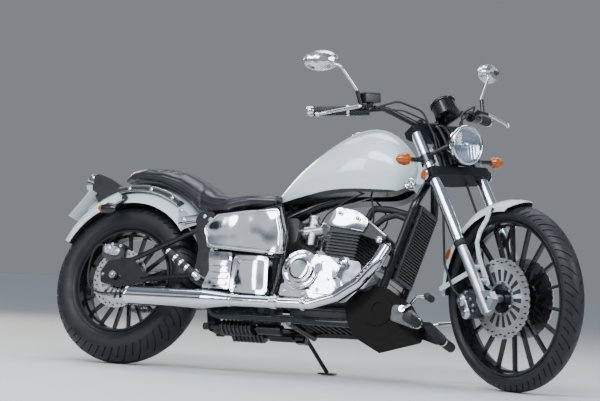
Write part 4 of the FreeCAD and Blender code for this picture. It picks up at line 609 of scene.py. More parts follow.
def aimed(spot, direction):
    """A matrix whose Z axis points along a direction, at a spot."""
    turn = Vector(direction).to_track_quat("Z", "Y").to_matrix().to_4x4()
    return Matrix.Translation(spot) @ turn


def both(matrix):
    """A frame and its mirror image across the machine's middle plane, with their names."""
    return (("right", matrix), ("left", matrix @ Matrix.Scale(-1, 4, (0, 1, 0))))


def on_ring(centre, ring, turn):
    """The point of a ring across the machine at an angle from straight ahead."""
    return (centre[0] + ring * math.cos(turn), centre[1], centre[2] + ring * math.sin(turn))


def turned(bm, profile, matrix=Matrix.Identity(4), steps=48, closed=False):
    """Spin a (radius, height) profile round the Z axis of a matrix into bm."""
    if not closed:
        profile = list(profile)
        if profile[0][0] > 0:
            profile.insert(0, (0, profile[0][1]))
        if profile[-1][0] > 0:
            profile.append((0, profile[-1][1]))
    old = set(bm.verts)
    verts = [bm.verts.new((r, 0, h)) for r, h in profile]
    ring = verts + verts[:1] if closed else verts
    edges = [bm.edges.new(pair) for pair in zip(ring, ring[1:])]
    bmesh.ops.spin(bm, geom=verts + edges, cent=(0, 0, 0), axis=UP, angle=TAU, steps=steps,
                   use_merge=True)
    fresh = [v for v in bm.verts if v not in old]
    bmesh.ops.transform(bm, matrix=matrix, verts=fresh)


def round_piece(name, profile, matrix, finish, body, steps=48, sharp=40, closed=False, node=None):
    """One turned piece: its profile spun round the Z axis of its matrix."""
    bm = bmesh.new()
    turned(bm, profile, steps=steps, closed=closed)
    add_piece(name, bm, finish, body, matrix, sharp, node)


def cylinder(bm, matrix, radius, height, middle, segments, top=None):
    """A cylinder or cone round a matrix's Z with its middle at a height; returns its vertices."""
    return bmesh.ops.create_cone(bm, segments=segments, radius1=radius,
                                 radius2=radius if top is None else top, depth=height,
                                 cap_ends=True, matrix=matrix @ at(0, 0, middle))["verts"]


def soften(bm, verts, offset, segments):
    """Round all edges of a block that was just made."""
    edges = {e for v in verts for e in v.link_edges}
    bmesh.ops.bevel(bm, geom=list(edges), offset=offset, segments=segments, affect="EDGES",
                    profile=0.5, material=-1)


def hexagon(bm, matrix, radius, height):
    """A hexagon bolt head with its washer, standing on the XY plane of a matrix."""
    head = cylinder(bm, matrix, radius, height, height / 2 + 1.2, 6)
    soften(bm, head, radius * 0.12, 2)
    cylinder(bm, matrix, radius * 1.35, 1.4, 0.7, 24, radius * 1.3)


def socket_screw(bm, matrix, radius, height):
    """A round screw head with a sunken hexagon socket."""
    head = cylinder(bm, matrix, radius, height, height / 2, 24)
    top = matrix @ Vector((0, 0, height))
    caps = [f for f in {f for v in head for f in v.link_faces}
            if (f.calc_center_median() - top).length < 0.01]
    bmesh.ops.inset_individual(bm, faces=caps, thickness=radius * 0.45, depth=0)
    bmesh.ops.inset_individual(bm, faces=caps, thickness=0.1, depth=-height * 0.5)


def dome_stud(bm, matrix, radius, height):
    """A round-headed stud."""
    steps = [(radius * 1.05, -0.6), (radius, 0.3)]
    steps += [(radius * math.cos(a), 0.3 + height * math.sin(a)) for a in (0.5, 0.9, 1.25)]
    turned(bm, [(0, 0.3 + height)] + steps[::-1], matrix, 18)


def bar(bm, matrix, size):
    """A sharp-edged bar, centred on a matrix."""
    return bmesh.ops.create_cube(bm, size=1, matrix=matrix @ Matrix.Diagonal((*size, 1)))["verts"]


def block(bm, matrix, size, bevel=2.0, segments=2):
    """A block with rounded edges, centred on a matrix."""
    soften(bm, bar(bm, matrix, size), bevel, segments)


def heads(kind, radius, height, spots, direction=RIGHT):
    """Rows of a fastening table: heads of one kind and size at several spots."""
    return [(kind, aimed(spot, direction), radius, height) for spot in spots]


def ring_spots(centre, ring, count, start=0.0):
    """Spots spaced round a circle across the machine."""
    return [on_ring(centre, ring, start + TAU * i / count) for i in range(count)]


def fasten(name, finish, body, matrix, table):
    """Bolt heads, screws or studs of one body and finish, made as one piece from a table."""
    bm = bmesh.new()
    for kind, place, radius, height in table:
        kind(bm, place, radius, height)
    add_piece(name, bm, finish, body, matrix, sharp=40)


def bead(name, points, radius, finish, body, matrix, closed=False):
    """A round bead or thin tube that follows a smooth line through points."""
    curve = bpy.data.curves.new(name, "CURVE")
    curve.dimensions = "3D"
    spline = curve.splines.new("NURBS")
    spline.points.add(len(points) - 1)
    for control, point in zip(spline.points, points):
        control.co = (*point, 1)
    spline.order_u = 3
    spline.use_endpoint_u = not closed
    spline.use_cyclic_u = closed
    spline.resolution_u = 6
    curve.bevel_depth = radius
    curve.bevel_resolution = 2
    curve.use_fill_caps = True
    line = new_object(name + "_line", curve)
    bm = bmesh.new()
    bm.from_mesh(evaluated_mesh(line))
    bpy.data.objects.remove(line)
    bmesh.ops.remove_doubles(bm, verts=bm.verts, dist=0.001)
    add_piece(name, bm, finish, body, matrix, sharp=60)


# Tyres

# Radius and half width, from the bead over side wall and shoulder to the middle of the tread
FRONT_SECTION = [
    (278.4, 31), (282, 37), (286, 41), (288, 42.6), (289, 41.6), (293, 44.5), (298, 46),
    (304, 45.6), (308.7, 44), (315, 40.5), (320.3, 36), (324.2, 32), (327.2, 28), (329.6, 24),
    (331.7, 20), (333.3, 16), (334.5, 12), (335.3, 8), (335.8, 4), (336, 0),
]
REAR_SECTION = [
    (208.4, 51), (214, 60), (220, 66.5), (224, 68.5), (226, 67.2), (234, 74.5), (246, 79),
    (258, 80), (268, 79.8), (277.9, 78), (284.6, 74.5), (290.4, 70), (296.5, 65), (301.4, 60),
    (306.4, 54), (310.8, 48), (314.3, 42), (317.3, 36), (320, 30), (321.7, 24), (323.1, 18),
    (324.2, 12), (324.8, 6), (325, 0),
]


# Columns from groove to groove, and where the long and the short ones start towards the edge
GROOVE_PITCH = 6
LONG_GROOVE, SHORT_GROOVE = 0.12, 0.55
SLANT_END = 1.15


def treaded_tyre(name, section, node, body, matrix, around, first, slant, depth):
    """A tyre spun from its section, with slanting grooves cut into the tread from its first row."""
    bm = bmesh.new()
    whole = section + [(r, -h) for r, h in reversed(section[:-1])]
    turned(bm, whole, steps=around, closed=True)
    bmesh.ops.remove_doubles(bm, verts=bm.verts, dist=0.01)
    bmesh.ops.recalc_face_normals(bm, faces=bm.faces)
    low, reach = section[first]
    grooves = []
    for face in bm.faces:
        centre = face.calc_center_median()
        near = abs(centre.z) / reach
        if near > 1 or centre.xy.length < low - 1:
            continue
        column = int(math.atan2(centre.y, centre.x) % TAU / TAU * around + 0.01)
        half = GROOVE_PITCH // 2
        step = (column + (0 if centre.z > 0 else half)) % GROOVE_PITCH
        if (step == 0 and near > LONG_GROOVE) or (step == half and near > SHORT_GROOVE):
            grooves.append(face)
    for vert in bm.verts:
        turn = -slant * min(abs(vert.co.z) / reach, SLANT_END)
        vert.co = Matrix.Rotation(turn, 3, "Z") @ vert.co
    bmesh.ops.inset_region(bm, faces=grooves, thickness=1.6, depth=0, use_even_offset=True)
    bmesh.ops.inset_region(bm, faces=grooves, thickness=0.8, depth=-depth, use_even_offset=True)
    add_piece(name, bm, "tyre", body, matrix @ tilted(-90, "X"), sharp=28, node=node)


treaded_tyre("front_tyre_treaded", FRONT_SECTION, "front_tyre", "front_wheel", FORK, 192, 8,
             0.16, 4.0)
treaded_tyre("rear_tyre_treaded", REAR_SECTION, "rear_tyre", "rear_wheel", REAR_WHEEL, 168, 9,
             0.22, 5.0)


# Fastenings

SIDE_SCREWS = (
    heads(socket_screw, 4.5, 3, [(401, -157.8, 514), (731, -157.8, 434)])
    + heads(socket_screw, 3.5, 3, [(551, -163.8, 406), (681, -163.8, 406), (697, -163.8, 275),
                                   (554, -163.8, 280)])
    + heads(hexagon, 4.8, 4, [(252, -134.8, 597), (280, -134.8, 540), (374, -134.8, 573)])
    + heads(hexagon, 9, 5, [(378, -150.8, 345)])
    + heads(hexagon, 11, 7, [(0, -139.8, REAR_RADIUS)])
    + heads(hexagon, 5, 4, [(-56, -119.8, 330)])
    + heads(hexagon, 7, 5, [(432, -142.8, 440), (400, -142.8, 560)])
)
ENGINE_SCREWS = (
    heads(socket_screw, 3.6, 3, ring_spots((823, -155.8, 374), 66, 8, 0.3))
    + heads(socket_screw, 4.5, 4, [
        (762, -135.8, 292), (842, -135.8, 285), (930, -135.8, 278), (1010, -135.8, 302),
        (888, -143.8, 430), (967, -143.8, 372), (940, -143.8, 342), (900, -141.8, 304),
        (972, -141.8, 312)])
    + heads(hexagon, 6.5, 5, [(932, -112.8, 610), (1008, -112.8, 590)])
    + heads(hexagon, 7, 5, [(1066, -121.8, 344), (1110, -121.8, 352)])
    + heads(hexagon, 5, 3, [(755, -189, 257), (880, -189, 257)], UP)
)
FORK_BOLTS = (
    heads(socket_screw, 5, 3, [(-22, -73.8, 90), (-30, -73.8, 152)])
    + heads(hexagon, 5.5, 4, [(-104, -103.8, 58), (-104, -103.8, 32)])
    + heads(socket_screw, 5, 3, [(-33, -143.8, 540)])
)

for side, matrix in both(CHASSIS):
    fasten("side_screws_" + side, "steel", "chassis", matrix, SIDE_SCREWS)
fasten("engine_screws", "steel", "chassis", CHASSIS, ENGINE_SCREWS)
for side, matrix in both(FORK):
    fasten("front_disc_bolts_" + side, "steel", "front_wheel", matrix,
           heads(hexagon, 4, 3, ring_spots((0, -64.4, 0), 56, 6)))
    fasten("fork_bolts_" + side, "steel", "steering", matrix, FORK_BOLTS)
fasten("rear_disc_bolts", "steel", "rear_wheel", REAR_WHEEL,
       heads(hexagon, 4, 3, ring_spots((0, -86.4, 0), 46, 5)))


# Brake discs

FRONT_DISC_SIDE = -62
REAR_DISC_SIDE = -84
DISC_THICKNESS = 5
DISC_COLUMNS = 180
WINDOW_PITCH = 10
DISC_HOLES = 36
# Distance of the holes' two rows, and how far the first hole stands from ahead, in holes
HOLE_ROW_GAP, HOLE_SHIFT = 6, 0.68
# How far each column of a petal draws the edge in, as a share of the radius
PETAL_DIPS = (0, 0.002, 0.019, 0.019, 0.002)
# Radii of a disc's rows of faces; the windows lie between the second and the fourth from last
FRONT_ROWS = [52, 62, 72, 84, 104, 110, 130, 145]
REAR_ROWS = [42, 49, 56, 68, 82, 90, 106, 120]


def disc_column(point):
    """Place of a point round a disc, in columns."""
    return math.atan2(point.y, point.x) % TAU / TAU * DISC_COLUMNS


def petal_disc(name, finish, body, matrix, side, rows, node):
    """A brake disc with wedge-shaped windows and a scalloped edge, spun and then thickened."""
    bm = bmesh.new()
    verts = [bm.verts.new((r, 0, 0)) for r in rows]
    edges = [bm.edges.new(pair) for pair in zip(verts, verts[1:])]
    bmesh.ops.spin(bm, geom=verts + edges, cent=(0, 0, 0), axis=UP, angle=TAU,
                   steps=DISC_COLUMNS, use_merge=True)
    windows = []
    for face in bm.faces:
        centre = face.calc_center_median()
        open_part = int(disc_column(centre)) % WINDOW_PITCH < WINDOW_PITCH / 2
        if rows[1] < centre.xy.length < rows[-4] and open_part:
            windows.append(face)
    bmesh.ops.delete(bm, geom=windows, context="FACES")
    for vert in bm.verts:
        if vert.co.xy.length > rows[-1] - 0.1:
            vert.co *= 1 - PETAL_DIPS[round(disc_column(vert.co)) % len(PETAL_DIPS)]
    bmesh.ops.solidify(bm, geom=bm.faces[:], thickness=DISC_THICKNESS)
    bmesh.ops.translate(bm, verts=bm.verts, vec=(0, 0, -DISC_THICKNESS / 2))
    place = matrix @ at(0, side, 0) @ tilted(90, "X")
    add_piece(name, bm, finish, body, place, sharp=30, node=node)


def drilled(name, body, matrix, side, ring, hole):
    """Drilled holes near a brake disc's edge, drawn as black plugs a hair proud of both faces:
    painted shade in the holes.
    """
    bm = bmesh.new()
    for i in range(DISC_HOLES):
        row = i % 2 * HOLE_ROW_GAP
        spot = on_ring((0, side, 0), ring - row, TAU * (i + HOLE_SHIFT) / DISC_HOLES)
        cylinder(bm, aimed(spot, LEFT), hole, DISC_THICKNESS + 0.4, 0, 12)
    add_piece(name, bm, "dial_black", body, matrix)


for side, matrix in both(FORK):
    petal_disc("front_disc_" + side, "front_disc_steel", "front_wheel", matrix, FRONT_DISC_SIDE,
               FRONT_ROWS, "front_discs")
    drilled("front_disc_holes_" + side, "front_wheel", matrix, FRONT_DISC_SIDE, 134, 2.9)
    # The disc carriers are made black as painted shade, for the shade they lie in
    round_piece("front_disc_carrier_" + side,
                [(44, -4), (44, 0), (104, 0), (106, -2), (106, -4)],
                matrix @ aimed((0, FRONT_DISC_SIDE + 3, 0), RIGHT), "engine_black",
                "front_wheel", 72, closed=True)
petal_disc("rear_disc_plate", "rear_disc_steel", "rear_wheel", REAR_WHEEL, REAR_DISC_SIDE,
           REAR_ROWS, "rear_disc")
drilled("rear_disc_holes", "rear_wheel", REAR_WHEEL, REAR_DISC_SIDE, 110, 2.7)


# Calipers

def caliper_lobes(name, body, matrix, outer, lobes, pins, nipple):
    """Cast housings over a caliper's pistons with their bridge, pins, hose joint and nipple."""
    bm = bmesh.new()
    for x, z, radius in lobes:
        turned(bm, [(0, 15), (radius * 0.5, 15), (radius * 0.62, 12.5), (radius * 0.8, 12),
                    (radius * 0.95, 9), (radius, 4), (radius, -8)], aimed((x, outer, z), RIGHT),
               32)
        socket_screw(bm, aimed((x, outer - 14.8, z), RIGHT), radius * 0.36, 2.4)
    (x0, z0, radius), (x1, z1, _) = lobes
    lean = math.atan2(x1 - x0, z1 - z0)
    middle = at((x0 + x1) / 2, outer - 1, (z0 + z1) / 2)
    block(bm, middle @ Matrix.Rotation(lean, 4, "Y"),
          (radius * 1.9, 18, math.hypot(x1 - x0, z1 - z0)), 4, 3)
    for x, z in pins:
        socket_screw(bm, aimed((x, outer - 1, z), RIGHT), 6.5, 7)
    turned(bm, [(0, 16), (2.4, 16), (3.2, 12), (3.2, 8), (5.5, 8), (5.5, 0)],
           aimed(nipple, (-0.4, -0.2, 0.9)), 16)
    add_piece(name, bm, "caliper_silver", body, matrix, sharp=40)


for side, matrix in both(FORK):
    caliper_lobes("front_caliper_lobes_" + side, "steering", matrix, -97,
                  [(-148, 80, 24), (-152, 30, 24)], [(-112, 92), (-112, 16)], (-160, -84, 98))
caliper_lobes("rear_caliper_lobes", "chassis", CHASSIS, -107,
              [(-60, 436, 20), (-18, 426, 18)], [(-40, 456), (-2, 450)], (-80, -92, 446))


# Fork

LEG_AHEAD, LEG_SIDE = -33, -114


def fork_details():
    """Top caps, stem nut, dust seals at the step, and the amber reflectors on the yoke."""
    bm = bmesh.new()
    for side in (LEG_SIDE, -LEG_SIDE):
        turned(bm, [(0, 770), (8, 770), (9, 765), (15, 763), (20, 760.2), (20, 757)],
               at(LEG_AHEAD, side, 0), 32)
    turned(bm, [(0, 774), (6, 774), (7, 772), (7, 768), (16, 767), (17, 758.2)], at(-47, 0, 0), 6)
    add_piece("fork_caps", bm, "chrome", "steering", FORK)
    for side, matrix in both(FORK):
        round_piece("fork_seal_" + side,
                    [(22.4, 262), (24.2, 260), (24.6, 246), (22.5, 240), (19.2, 236),
                     (18, 236), (18, 262)],
                    matrix @ at(LEG_AHEAD, LEG_SIDE, 0), "rubber", "steering", closed=True)
        yoke_end = matrix @ aimed((LEG_AHEAD, -156, 549), RIGHT)
        round_piece("yoke_reflector_" + side, [(0, 6), (9, 5.6), (15, 4.4), (17, 3), (17.5, -1)],
                    yoke_end, "amber", "steering")
        round_piece("yoke_reflector_ring_" + side,
                    [(17.4, -2), (17.4, 3.2), (19, 3.6), (20.6, 2.4), (20.8, -2)],
                    yoke_end, "chrome", "steering", closed=True)


def fender_reflectors():
    """Oval amber reflectors on both cheeks of the front fender's rear part."""
    turn = math.radians(120)
    spot = on_ring((0, -61.8, 0), 330, turn)
    place = aimed(spot, RIGHT) @ Matrix.Rotation(turn, 4, "Z")
    for side, matrix in both(FORK):
        round_piece("fender_reflector_" + side, [(0, 4), (10, 3.6), (15, 2.6), (17, 1), (17, -1)],
                    matrix @ place @ Matrix.Diagonal((0.62, 1.25, 1, 1)), "amber", "steering")


fork_details()
fender_reflectors()


# Headlight

HEADLAMP = FORK @ at(80, 0, 611) @ Matrix.Rotation(RAKE, 4, "Y") @ tilted(90, "Y")
REFLECTOR_RADIUS = 66.4
FLUTE_PITCH = 13


def fluted_reflector():
    """The dished reflector, pressed with upright flutes."""
    bm = bmesh.new()
    bmesh.ops.create_grid(bm, x_segments=66, y_segments=96, size=REFLECTOR_RADIUS)
    outside = [v for v in bm.verts if v.co.xy.length > REFLECTOR_RADIUS - 0.1]
    bmesh.ops.delete(bm, geom=outside, context="VERTS")
    for vert in bm.verts:
        reach = vert.co.xy.length / REFLECTOR_RADIUS
        ripple = 0.3 * math.cos(vert.co.y * TAU / FLUTE_PITCH) * (1 - reach ** 6)
        vert.co.z = -12.6 + 9.4 * reach ** 2.2 + ripple
    add_piece("headlight_reflector", bm, "reflector", "steering", HEADLAMP, sharp=60)


fluted_reflector()
round_piece("headlight_bulb", [(0, 2.5), (5, 2.2), (10, 0), (11, -6), (9, -12)], HEADLAMP,
            "chrome", "steering", 24, 32)
round_piece("headlight_glass",
            [(0, 9), (20, 8.4), (38, 6.6), (54, 3.4), (64, 0), (66.5, -1.5), (66.5, -3),
             (62, -2.4), (52, 1.4), (37, 4.6), (20, 6.4), (0, 7)],
            HEADLAMP, "clear_glass", "steering", 64, 60, node="headlight_lens")
round_piece("headlight_rim",
            [(63.5, -2), (64.2, 2.4), (67, 4.6), (71, 3.8), (74.6, 0), (75.8, -7),
             (75.6, -18), (74.6, -20), (74.3, -18), (74.3, -4)],
            HEADLAMP, "chrome", "steering", 64, 50, closed=True)


# Instrument

DIAL = FORK @ at(40, 0, 828) @ tilted(-1.9, "Y") @ tilted(-90, "Z")
DIAL_START, DIAL_SWEEP = 225, 270
DIAL_MARKS = 32
DIAL_NUMBERS = 8


def dial_number(bm, word, spot):
    """Add a flat numeral to a dial's markings."""
    curve = bpy.data.curves.new("dial_number", "FONT")
    curve.body = word
    curve.size = 6.5
    curve.extrude = 0.15
    curve.align_x = "CENTER"
    curve.align_y = "CENTER"
    holder = new_object("dial_number", curve)
    mesh = evaluated_mesh(holder)
    bpy.data.objects.remove(holder)
    mesh.transform(at(*spot))
    bm.from_mesh(mesh)


def dial_pieces():
    """Face, marks, numerals, needle, glass and gloss black bezel of the round instrument."""
    round_piece("dial_face", [(0, 0.6), (41.5, 0.6), (42, 0)], DIAL, "dial_black", "steering")
    bm = bmesh.new()
    for i in range(DIAL_MARKS + 1):
        turn = tilted(DIAL_START - DIAL_SWEEP * i / DIAL_MARKS, "Z")
        long = 5.5 if i % 4 == 0 else 3.0
        bar(bm, at(0, 0, 0.8) @ turn @ at(38.5 - long / 2, 0, 0), (long, 0.8, 0.4))
    for i in range(DIAL_NUMBERS + 1):
        turn = math.radians(DIAL_START - DIAL_SWEEP * i / DIAL_NUMBERS)
        dial_number(bm, str(20 * i), (28 * math.cos(turn), 28 * math.sin(turn), 0.9))
    add_piece("dial_marks", bm, "dial_white", "steering", DIAL)
    bm = bmesh.new()
    turned(bm, [(0, 3.4), (3, 3.2), (4, 2.4), (4, 0.7)], steps=20)
    bar(bm, tilted(DIAL_START, "Z") @ at(14, 0, 2.2), (34, 1.4, 0.8))
    add_piece("dial_needle", bm, "red_lens", "steering", DIAL)
    round_piece("dial_glass",
                [(0, 5.5), (20, 5.2), (34, 4.2), (42, 2.6), (42, 1.9), (34, 3.4), (20, 4.4),
                 (0, 4.7)], DIAL, "clear_glass", "steering", sharp=60)
    round_piece("dial_bezel",
                [(42, -4), (42, 3.5), (44.5, 5.4), (48, 4.6), (50, 2), (50, -6), (49, -7)],
                DIAL, "black_gloss", "steering", sharp=50, closed=True)
    round_piece("dial_foot_ring", [(46, -60.5), (48.4, -59), (48.4, -50), (46, -48)],
                DIAL, "black_gloss", "steering", sharp=50, closed=True)


dial_pieces()


# Mirrors, grips and foot rests

def mirror_glasses():
    """The oval glasses of both mirrors."""
    for name, side in (("right", -1), ("left", 1)):
        turn = Matrix.Rotation(RAKE * 0.9, 4, "Y") @ tilted(22 * side, "Z")
        place = FORK @ at(-51, side * 417, 1066) @ turn @ at(-20.1, 0, 0) @ tilted(-90, "Y")
        round_piece("mirror_glass_" + name, [(0, 0.9), (61, 0.9), (62, 0.2)],
                    place @ Matrix.Diagonal((0.56, 1.0, 1, 1)), "mirror_bright", "steering")


RIB_PITCH = 8.6
RIBS = 15


def grip_pieces():
    """Ribbed rubber on both grips, with a bright end and collar."""
    start, end = Vector((-100, -280, 879)), Vector((-184, -446, 924))
    line = aimed(start, end - start)
    ribs = [(17.2, 46)]
    for i in range(RIBS):
        base = 50 + i * RIB_PITCH
        ribs += [(17.2, base), (18.6, base + 1.2), (18.8, base + 4.2), (17.4, base + 5.6)]
    ribs += [(17.2, 180)]
    ends = [(0, 203), (9, 203), (15, 201), (18.6, 197), (19.2, 190), (19.2, 180), (18, 178)]
    collar = [(17.1, 42.4), (20.5, 42.4), (21.3, 44), (21.3, 51), (20, 53), (17.1, 53)]
    for side, matrix in both(FORK):
        round_piece("grip_ribs_" + side, ribs, matrix @ line, "rubber", "steering", 40, 50)
        bm = bmesh.new()
        turned(bm, ends, steps=40)
        turned(bm, collar, steps=40)
        add_piece("grip_ends_" + side, bm, "chrome", "steering", matrix @ line, sharp=45)


def ribbed_sleeve(bm, matrix, start, stop, radius, pitch):
    """A rubber sleeve with round ribs from start to stop along a matrix's Z."""
    profile = [(radius, start)]
    place = start + 2
    while place + pitch < stop:
        profile += [(radius, place), (radius + 1.6, place + pitch * 0.25),
                    (radius + 1.6, place + pitch * 0.55), (radius, place + pitch * 0.8)]
        place += pitch
    profile += [(radius, stop - 2), (radius - 3, stop)]
    turned(bm, profile, matrix, 36)


def foot_rubbers():
    """Sleeves on the rider's rests and pedals, and the bands of the passenger's rests."""
    peg = aimed((1312, -122.8, 196), (0, -106, -2))
    pad = aimed((1378, -184.8, 273), RIGHT)
    foot, tip = Vector((400, -166, 322)), Vector((262, -185, 415))
    rest = aimed(foot, tip - foot)
    for side, matrix in both(CHASSIS):
        bm = bmesh.new()
        ribbed_sleeve(bm, peg, 16, 110, 17, 9)
        ribbed_sleeve(bm, pad, -2, 54, 11, 8)
        for start, stop in ((20, 51.5), (61.5, 83.5), (93.5, 115.5), (125.5, 160)):
            turned(bm, [(13.6, start), (15.2, start + 1), (15.2, stop - 1), (13.6, stop)],
                   rest, 32)
        add_piece("foot_rubbers_" + side, bm, "rubber", "chassis", matrix, sharp=40)


mirror_glasses()
grip_pieces()
foot_rubbers()


# Body work

STRAP_SIDE = -109.8
STRAP_RADIUS = 344
STITCHES = 52


def tank_pieces():
    """The filler cap with its lock slot, and the bright horn on the headstock."""
    cap = aimed((912, 0, 944), (-0.42, 0, 0.91))
    bm = bmesh.new()
    turned(bm, [(0, 22), (12, 22), (14, 20.5), (24, 19.5), (31, 16), (33, 12), (33, 7), (36, 5),
                (37, 3), (36, -8)], cap, 48)
    bar(bm, cap @ at(0, 0, 22.4), (9, 2, 1.2))
    add_piece("filler_cap", bm, "chrome", "chassis", CHASSIS, sharp=40)
    round_piece("horn", [(0, 33), (6, 33), (8, 31), (9, 29), (15, 30.5), (18, 33), (20.5, 33),
                         (22, 30), (22, 20), (17, 8), (12, -2)],
                CHASSIS @ aimed((1176, -29, 748), RIGHT), "chrome", "chassis", 40)


def strap_details():
    """Round studs along the fender straps, a bright bead on each edge and two rows of stitches."""
    x, _, z = FENDER_CENTRE
    studs = [on_ring((x, STRAP_SIDE, z), STRAP_RADIUS, math.radians(turn))
             for turn in (63, 81, 98)]
    for side, matrix in both(CHASSIS):
        fasten("strap_studs_" + side, "chrome", "chassis", matrix,
               heads(dome_stud, 8.5, 3.4, studs))
        for edge, ring in (("top", STRAP_RADIUS + 12), ("bottom", STRAP_RADIUS - 12)):
            points = [on_ring((x, STRAP_SIDE + 0.2, z), ring, math.radians(56 + 5 * i))
                      for i in range(11)]
            bead("strap_" + edge + "_edge_" + side, points, 1.7, "chrome", "chassis", matrix)
        bm = bmesh.new()
        for ring in (STRAP_RADIUS - 7.2, STRAP_RADIUS + 7.2):
            for i in range(STITCHES):
                turn = tilted(-57 - i * 48 / (STITCHES - 1), "Y")
                block(bm, at(*FENDER_CENTRE) @ turn @ at(ring, STRAP_SIDE - 0.3, 0),
                      (1.2, 1.4, 3.6), 0.4, 1)
        add_piece("strap_stitches_" + side, bm, "thread", "chassis", matrix, sharp=60)


def tail_lamp_pieces():
    """The tail lamp's red lens in its bright bezel."""
    out = (-0.93, 0, 0.36)
    lamp = CHASSIS @ aimed((-236 + 34 * out[0], 0, 736 + 34 * out[2]), out)
    round_piece("tail_lens", [(0, 17), (14, 16), (24, 13), (30, 8), (32, 2), (32, -1)], lamp,
                "red_lens", "chassis")
    round_piece("tail_bezel", [(30, -2), (30.6, 2.4), (33, 4.4), (36, 3), (38, -2), (38.4, -14),
                               (36, -32), (33, -33), (33.4, -14), (34.2, -2)],
                lamp, "chrome", "chassis", closed=True)


def plate_pieces():
    """The blank plate's rim and screws, in a frame with X down the plate and Z out of it."""
    fall, out = Vector((-84, 0, -114)).normalized(), Vector((-114, 0, 84)).normalized()
    plate = at(-253, 0, 634) @ Matrix((fall, Vector(RIGHT), out)).transposed().to_4x4()
    bm = bmesh.new()
    for x, y, long, wide in ((-69, 0, 3, 168), (69, 0, 3, 168), (0, -83.5, 138, 3),
                             (0, 83.5, 138, 3)):
        block(bm, plate @ at(x, y, 2.6), (long, wide, 2.2), 0.8, 2)
    add_piece("plate_rim", bm, "steel", "chassis", CHASSIS, sharp=50)
    bm = bmesh.new()
    for y in (-52, 52):
        socket_screw(bm, plate @ at(-46, y, 1.2), 4, 2.4)
    add_piece("plate_screws", bm, "steel", "chassis", CHASSIS, sharp=40)


tank_pieces()
strap_details()
tail_lamp_pieces()
plate_pieces()


# Engine and exhaust

CLUTCH_COVER = CHASSIS @ aimed((823, -155, 374), RIGHT)
MUFFLER_SIDE, MUFFLER_UP = -190, 232
SIDE_COVER_FACE = -161.6
SIDE_COVER_CORNERS = [(394, 524), (437, 572), (560, 590), (689, 600), (722, 520), (735, 429),
                      (420, 449)]


def clutch_ring():
    """The raised round plate on the clutch cover, in its dark groove."""
    round_piece("clutch_plate", [(0, 7.5), (30, 7.2), (42, 6), (46, 4), (47, 0), (47, -3)],
                CLUTCH_COVER, "chrome_panel", "chassis", 64)
    round_piece("clutch_groove", [(47, -2), (47, 2.4), (50.5, 2.4), (50.5, -2)],
                CLUTCH_COVER, "engine_black", "chassis", 64, closed=True)


def side_cover_borders():
    """A thin bright lip round each side cover."""
    points = []
    corners = SIDE_COVER_CORNERS
    for (x0, z0), (x1, z1) in zip(corners, corners[1:] + corners[:1]):
        points += [(x0 + (x1 - x0) * share, SIDE_COVER_FACE, z0 + (z1 - z0) * share)
                   for share in (0.06, 0.5, 0.94)]
    for side, matrix in both(CHASSIS):
        bead("side_cover_lip_" + side, points, 2.2, "chrome", "chassis", matrix, closed=True)


# Routes of the leads that the machine holds at both ends
PLUG_LEAD = [(1010, -30, 700), (1024, -52, 690), (1040, -72, 660), (1050, -70, 630),
             (1046, -52, 600), (1040, -44, 588)]
THROTTLE_CABLE = [(1120, -40, 742), (1040, -58, 720), (960, -70, 690), (890, -78, 640),
                  (850, -80, 600), (842, -76, 566)]
REAR_BRAKE_HOSE = [(-84, -96, 452), (-108, -100, 462), (-132, -102, 430), (-140, -104, 360),
                   (-130, -104, 290), (-96, -100, 262), (-20, -96, 258), (60, -84, 270),
                   (110, -70, 290)]
LOOMS = [
    # ahead, left, bulge, height of the lower bend
    (8, -44, 34, 640), (14, -24, 46, 622), (10, 4, 40, 634), (6, 30, 42, 618), (2, 52, 30, 640),
]


def plug_leads():
    """Ignition leads from the coil under the tank to the plug caps, and the carburettor cable."""
    for side, matrix in both(CHASSIS):
        bead("plug_lead_" + side, PLUG_LEAD, 3.5, "rubber", "chassis", matrix)
    bead("throttle_cable", THROTTLE_CABLE, 3.0, "rubber", "chassis", CHASSIS)


def wiring_looms():
    """Taped looms that hang between the fork legs, from the bars to behind the lower yoke."""
    for i, (x, y, out, drop) in enumerate(LOOMS):
        bead("loom_" + str(i + 1),
             [(x - 16, y * 0.6, 752), (x + 4, y, 742), (x + out * 0.5, y * 1.1, 705),
              (x + out * 0.45, y, 660), (x + 6, y * 0.9, drop), (x - 14, y * 0.7, 580)],
             6.0, "rubber", "steering", FORK)


def stem_shroud():
    """A dark curved cover between the fork legs, behind the looms."""
    half, middle, rise, sweep = 68, 651, 76, 16
    bm = bmesh.new()
    bmesh.ops.create_grid(bm, x_segments=16, y_segments=6, size=1)
    for vert in bm.verts:
        across, up = vert.co.x, vert.co.y
        vert.co = Vector((-1 - across ** 2 * sweep, across * half, middle + up * rise))
    bmesh.ops.solidify(bm, geom=bm.faces[:], thickness=3)
    add_piece("stem_shroud", bm, "yoke_black", "steering", FORK, sharp=40)


def bracket_arms():
    """Bright arms from the fender brackets to the seat rail, with round bolts."""
    arm = at(322, -139, 564) @ tilted(-10, "Y")
    for side, matrix in both(CHASSIS):
        bm = bmesh.new()
        block(bm, arm, (136, 5, 30), 2.2, 3)
        for x in (-44, 50):
            dome_stud(bm, arm @ aimed((x, -2.4, 0), RIGHT), 9, 5)
        add_piece("bracket_arm_" + side, bm, "chrome", "chassis", matrix, sharp=40)


def oil_sump():
    """The ribbed oil sump under the crankcase, with its drain plug."""
    bm = bmesh.new()
    block(bm, at(892, 0, 226), (272, 112, 76), 12, 3)
    for i in range(9):
        block(bm, at(792 + 25 * i, 0, 186), (6, 100, 12), 1.5, 1)
    for y in (-50, 50):
        block(bm, at(892, y, 246), (290, 18, 12), 3, 2)
    hexagon(bm, aimed((1022, 0, 204), AHEAD), 9, 8)
    add_piece("oil_sump", bm, "engine_black", "chassis", CHASSIS, sharp=35)


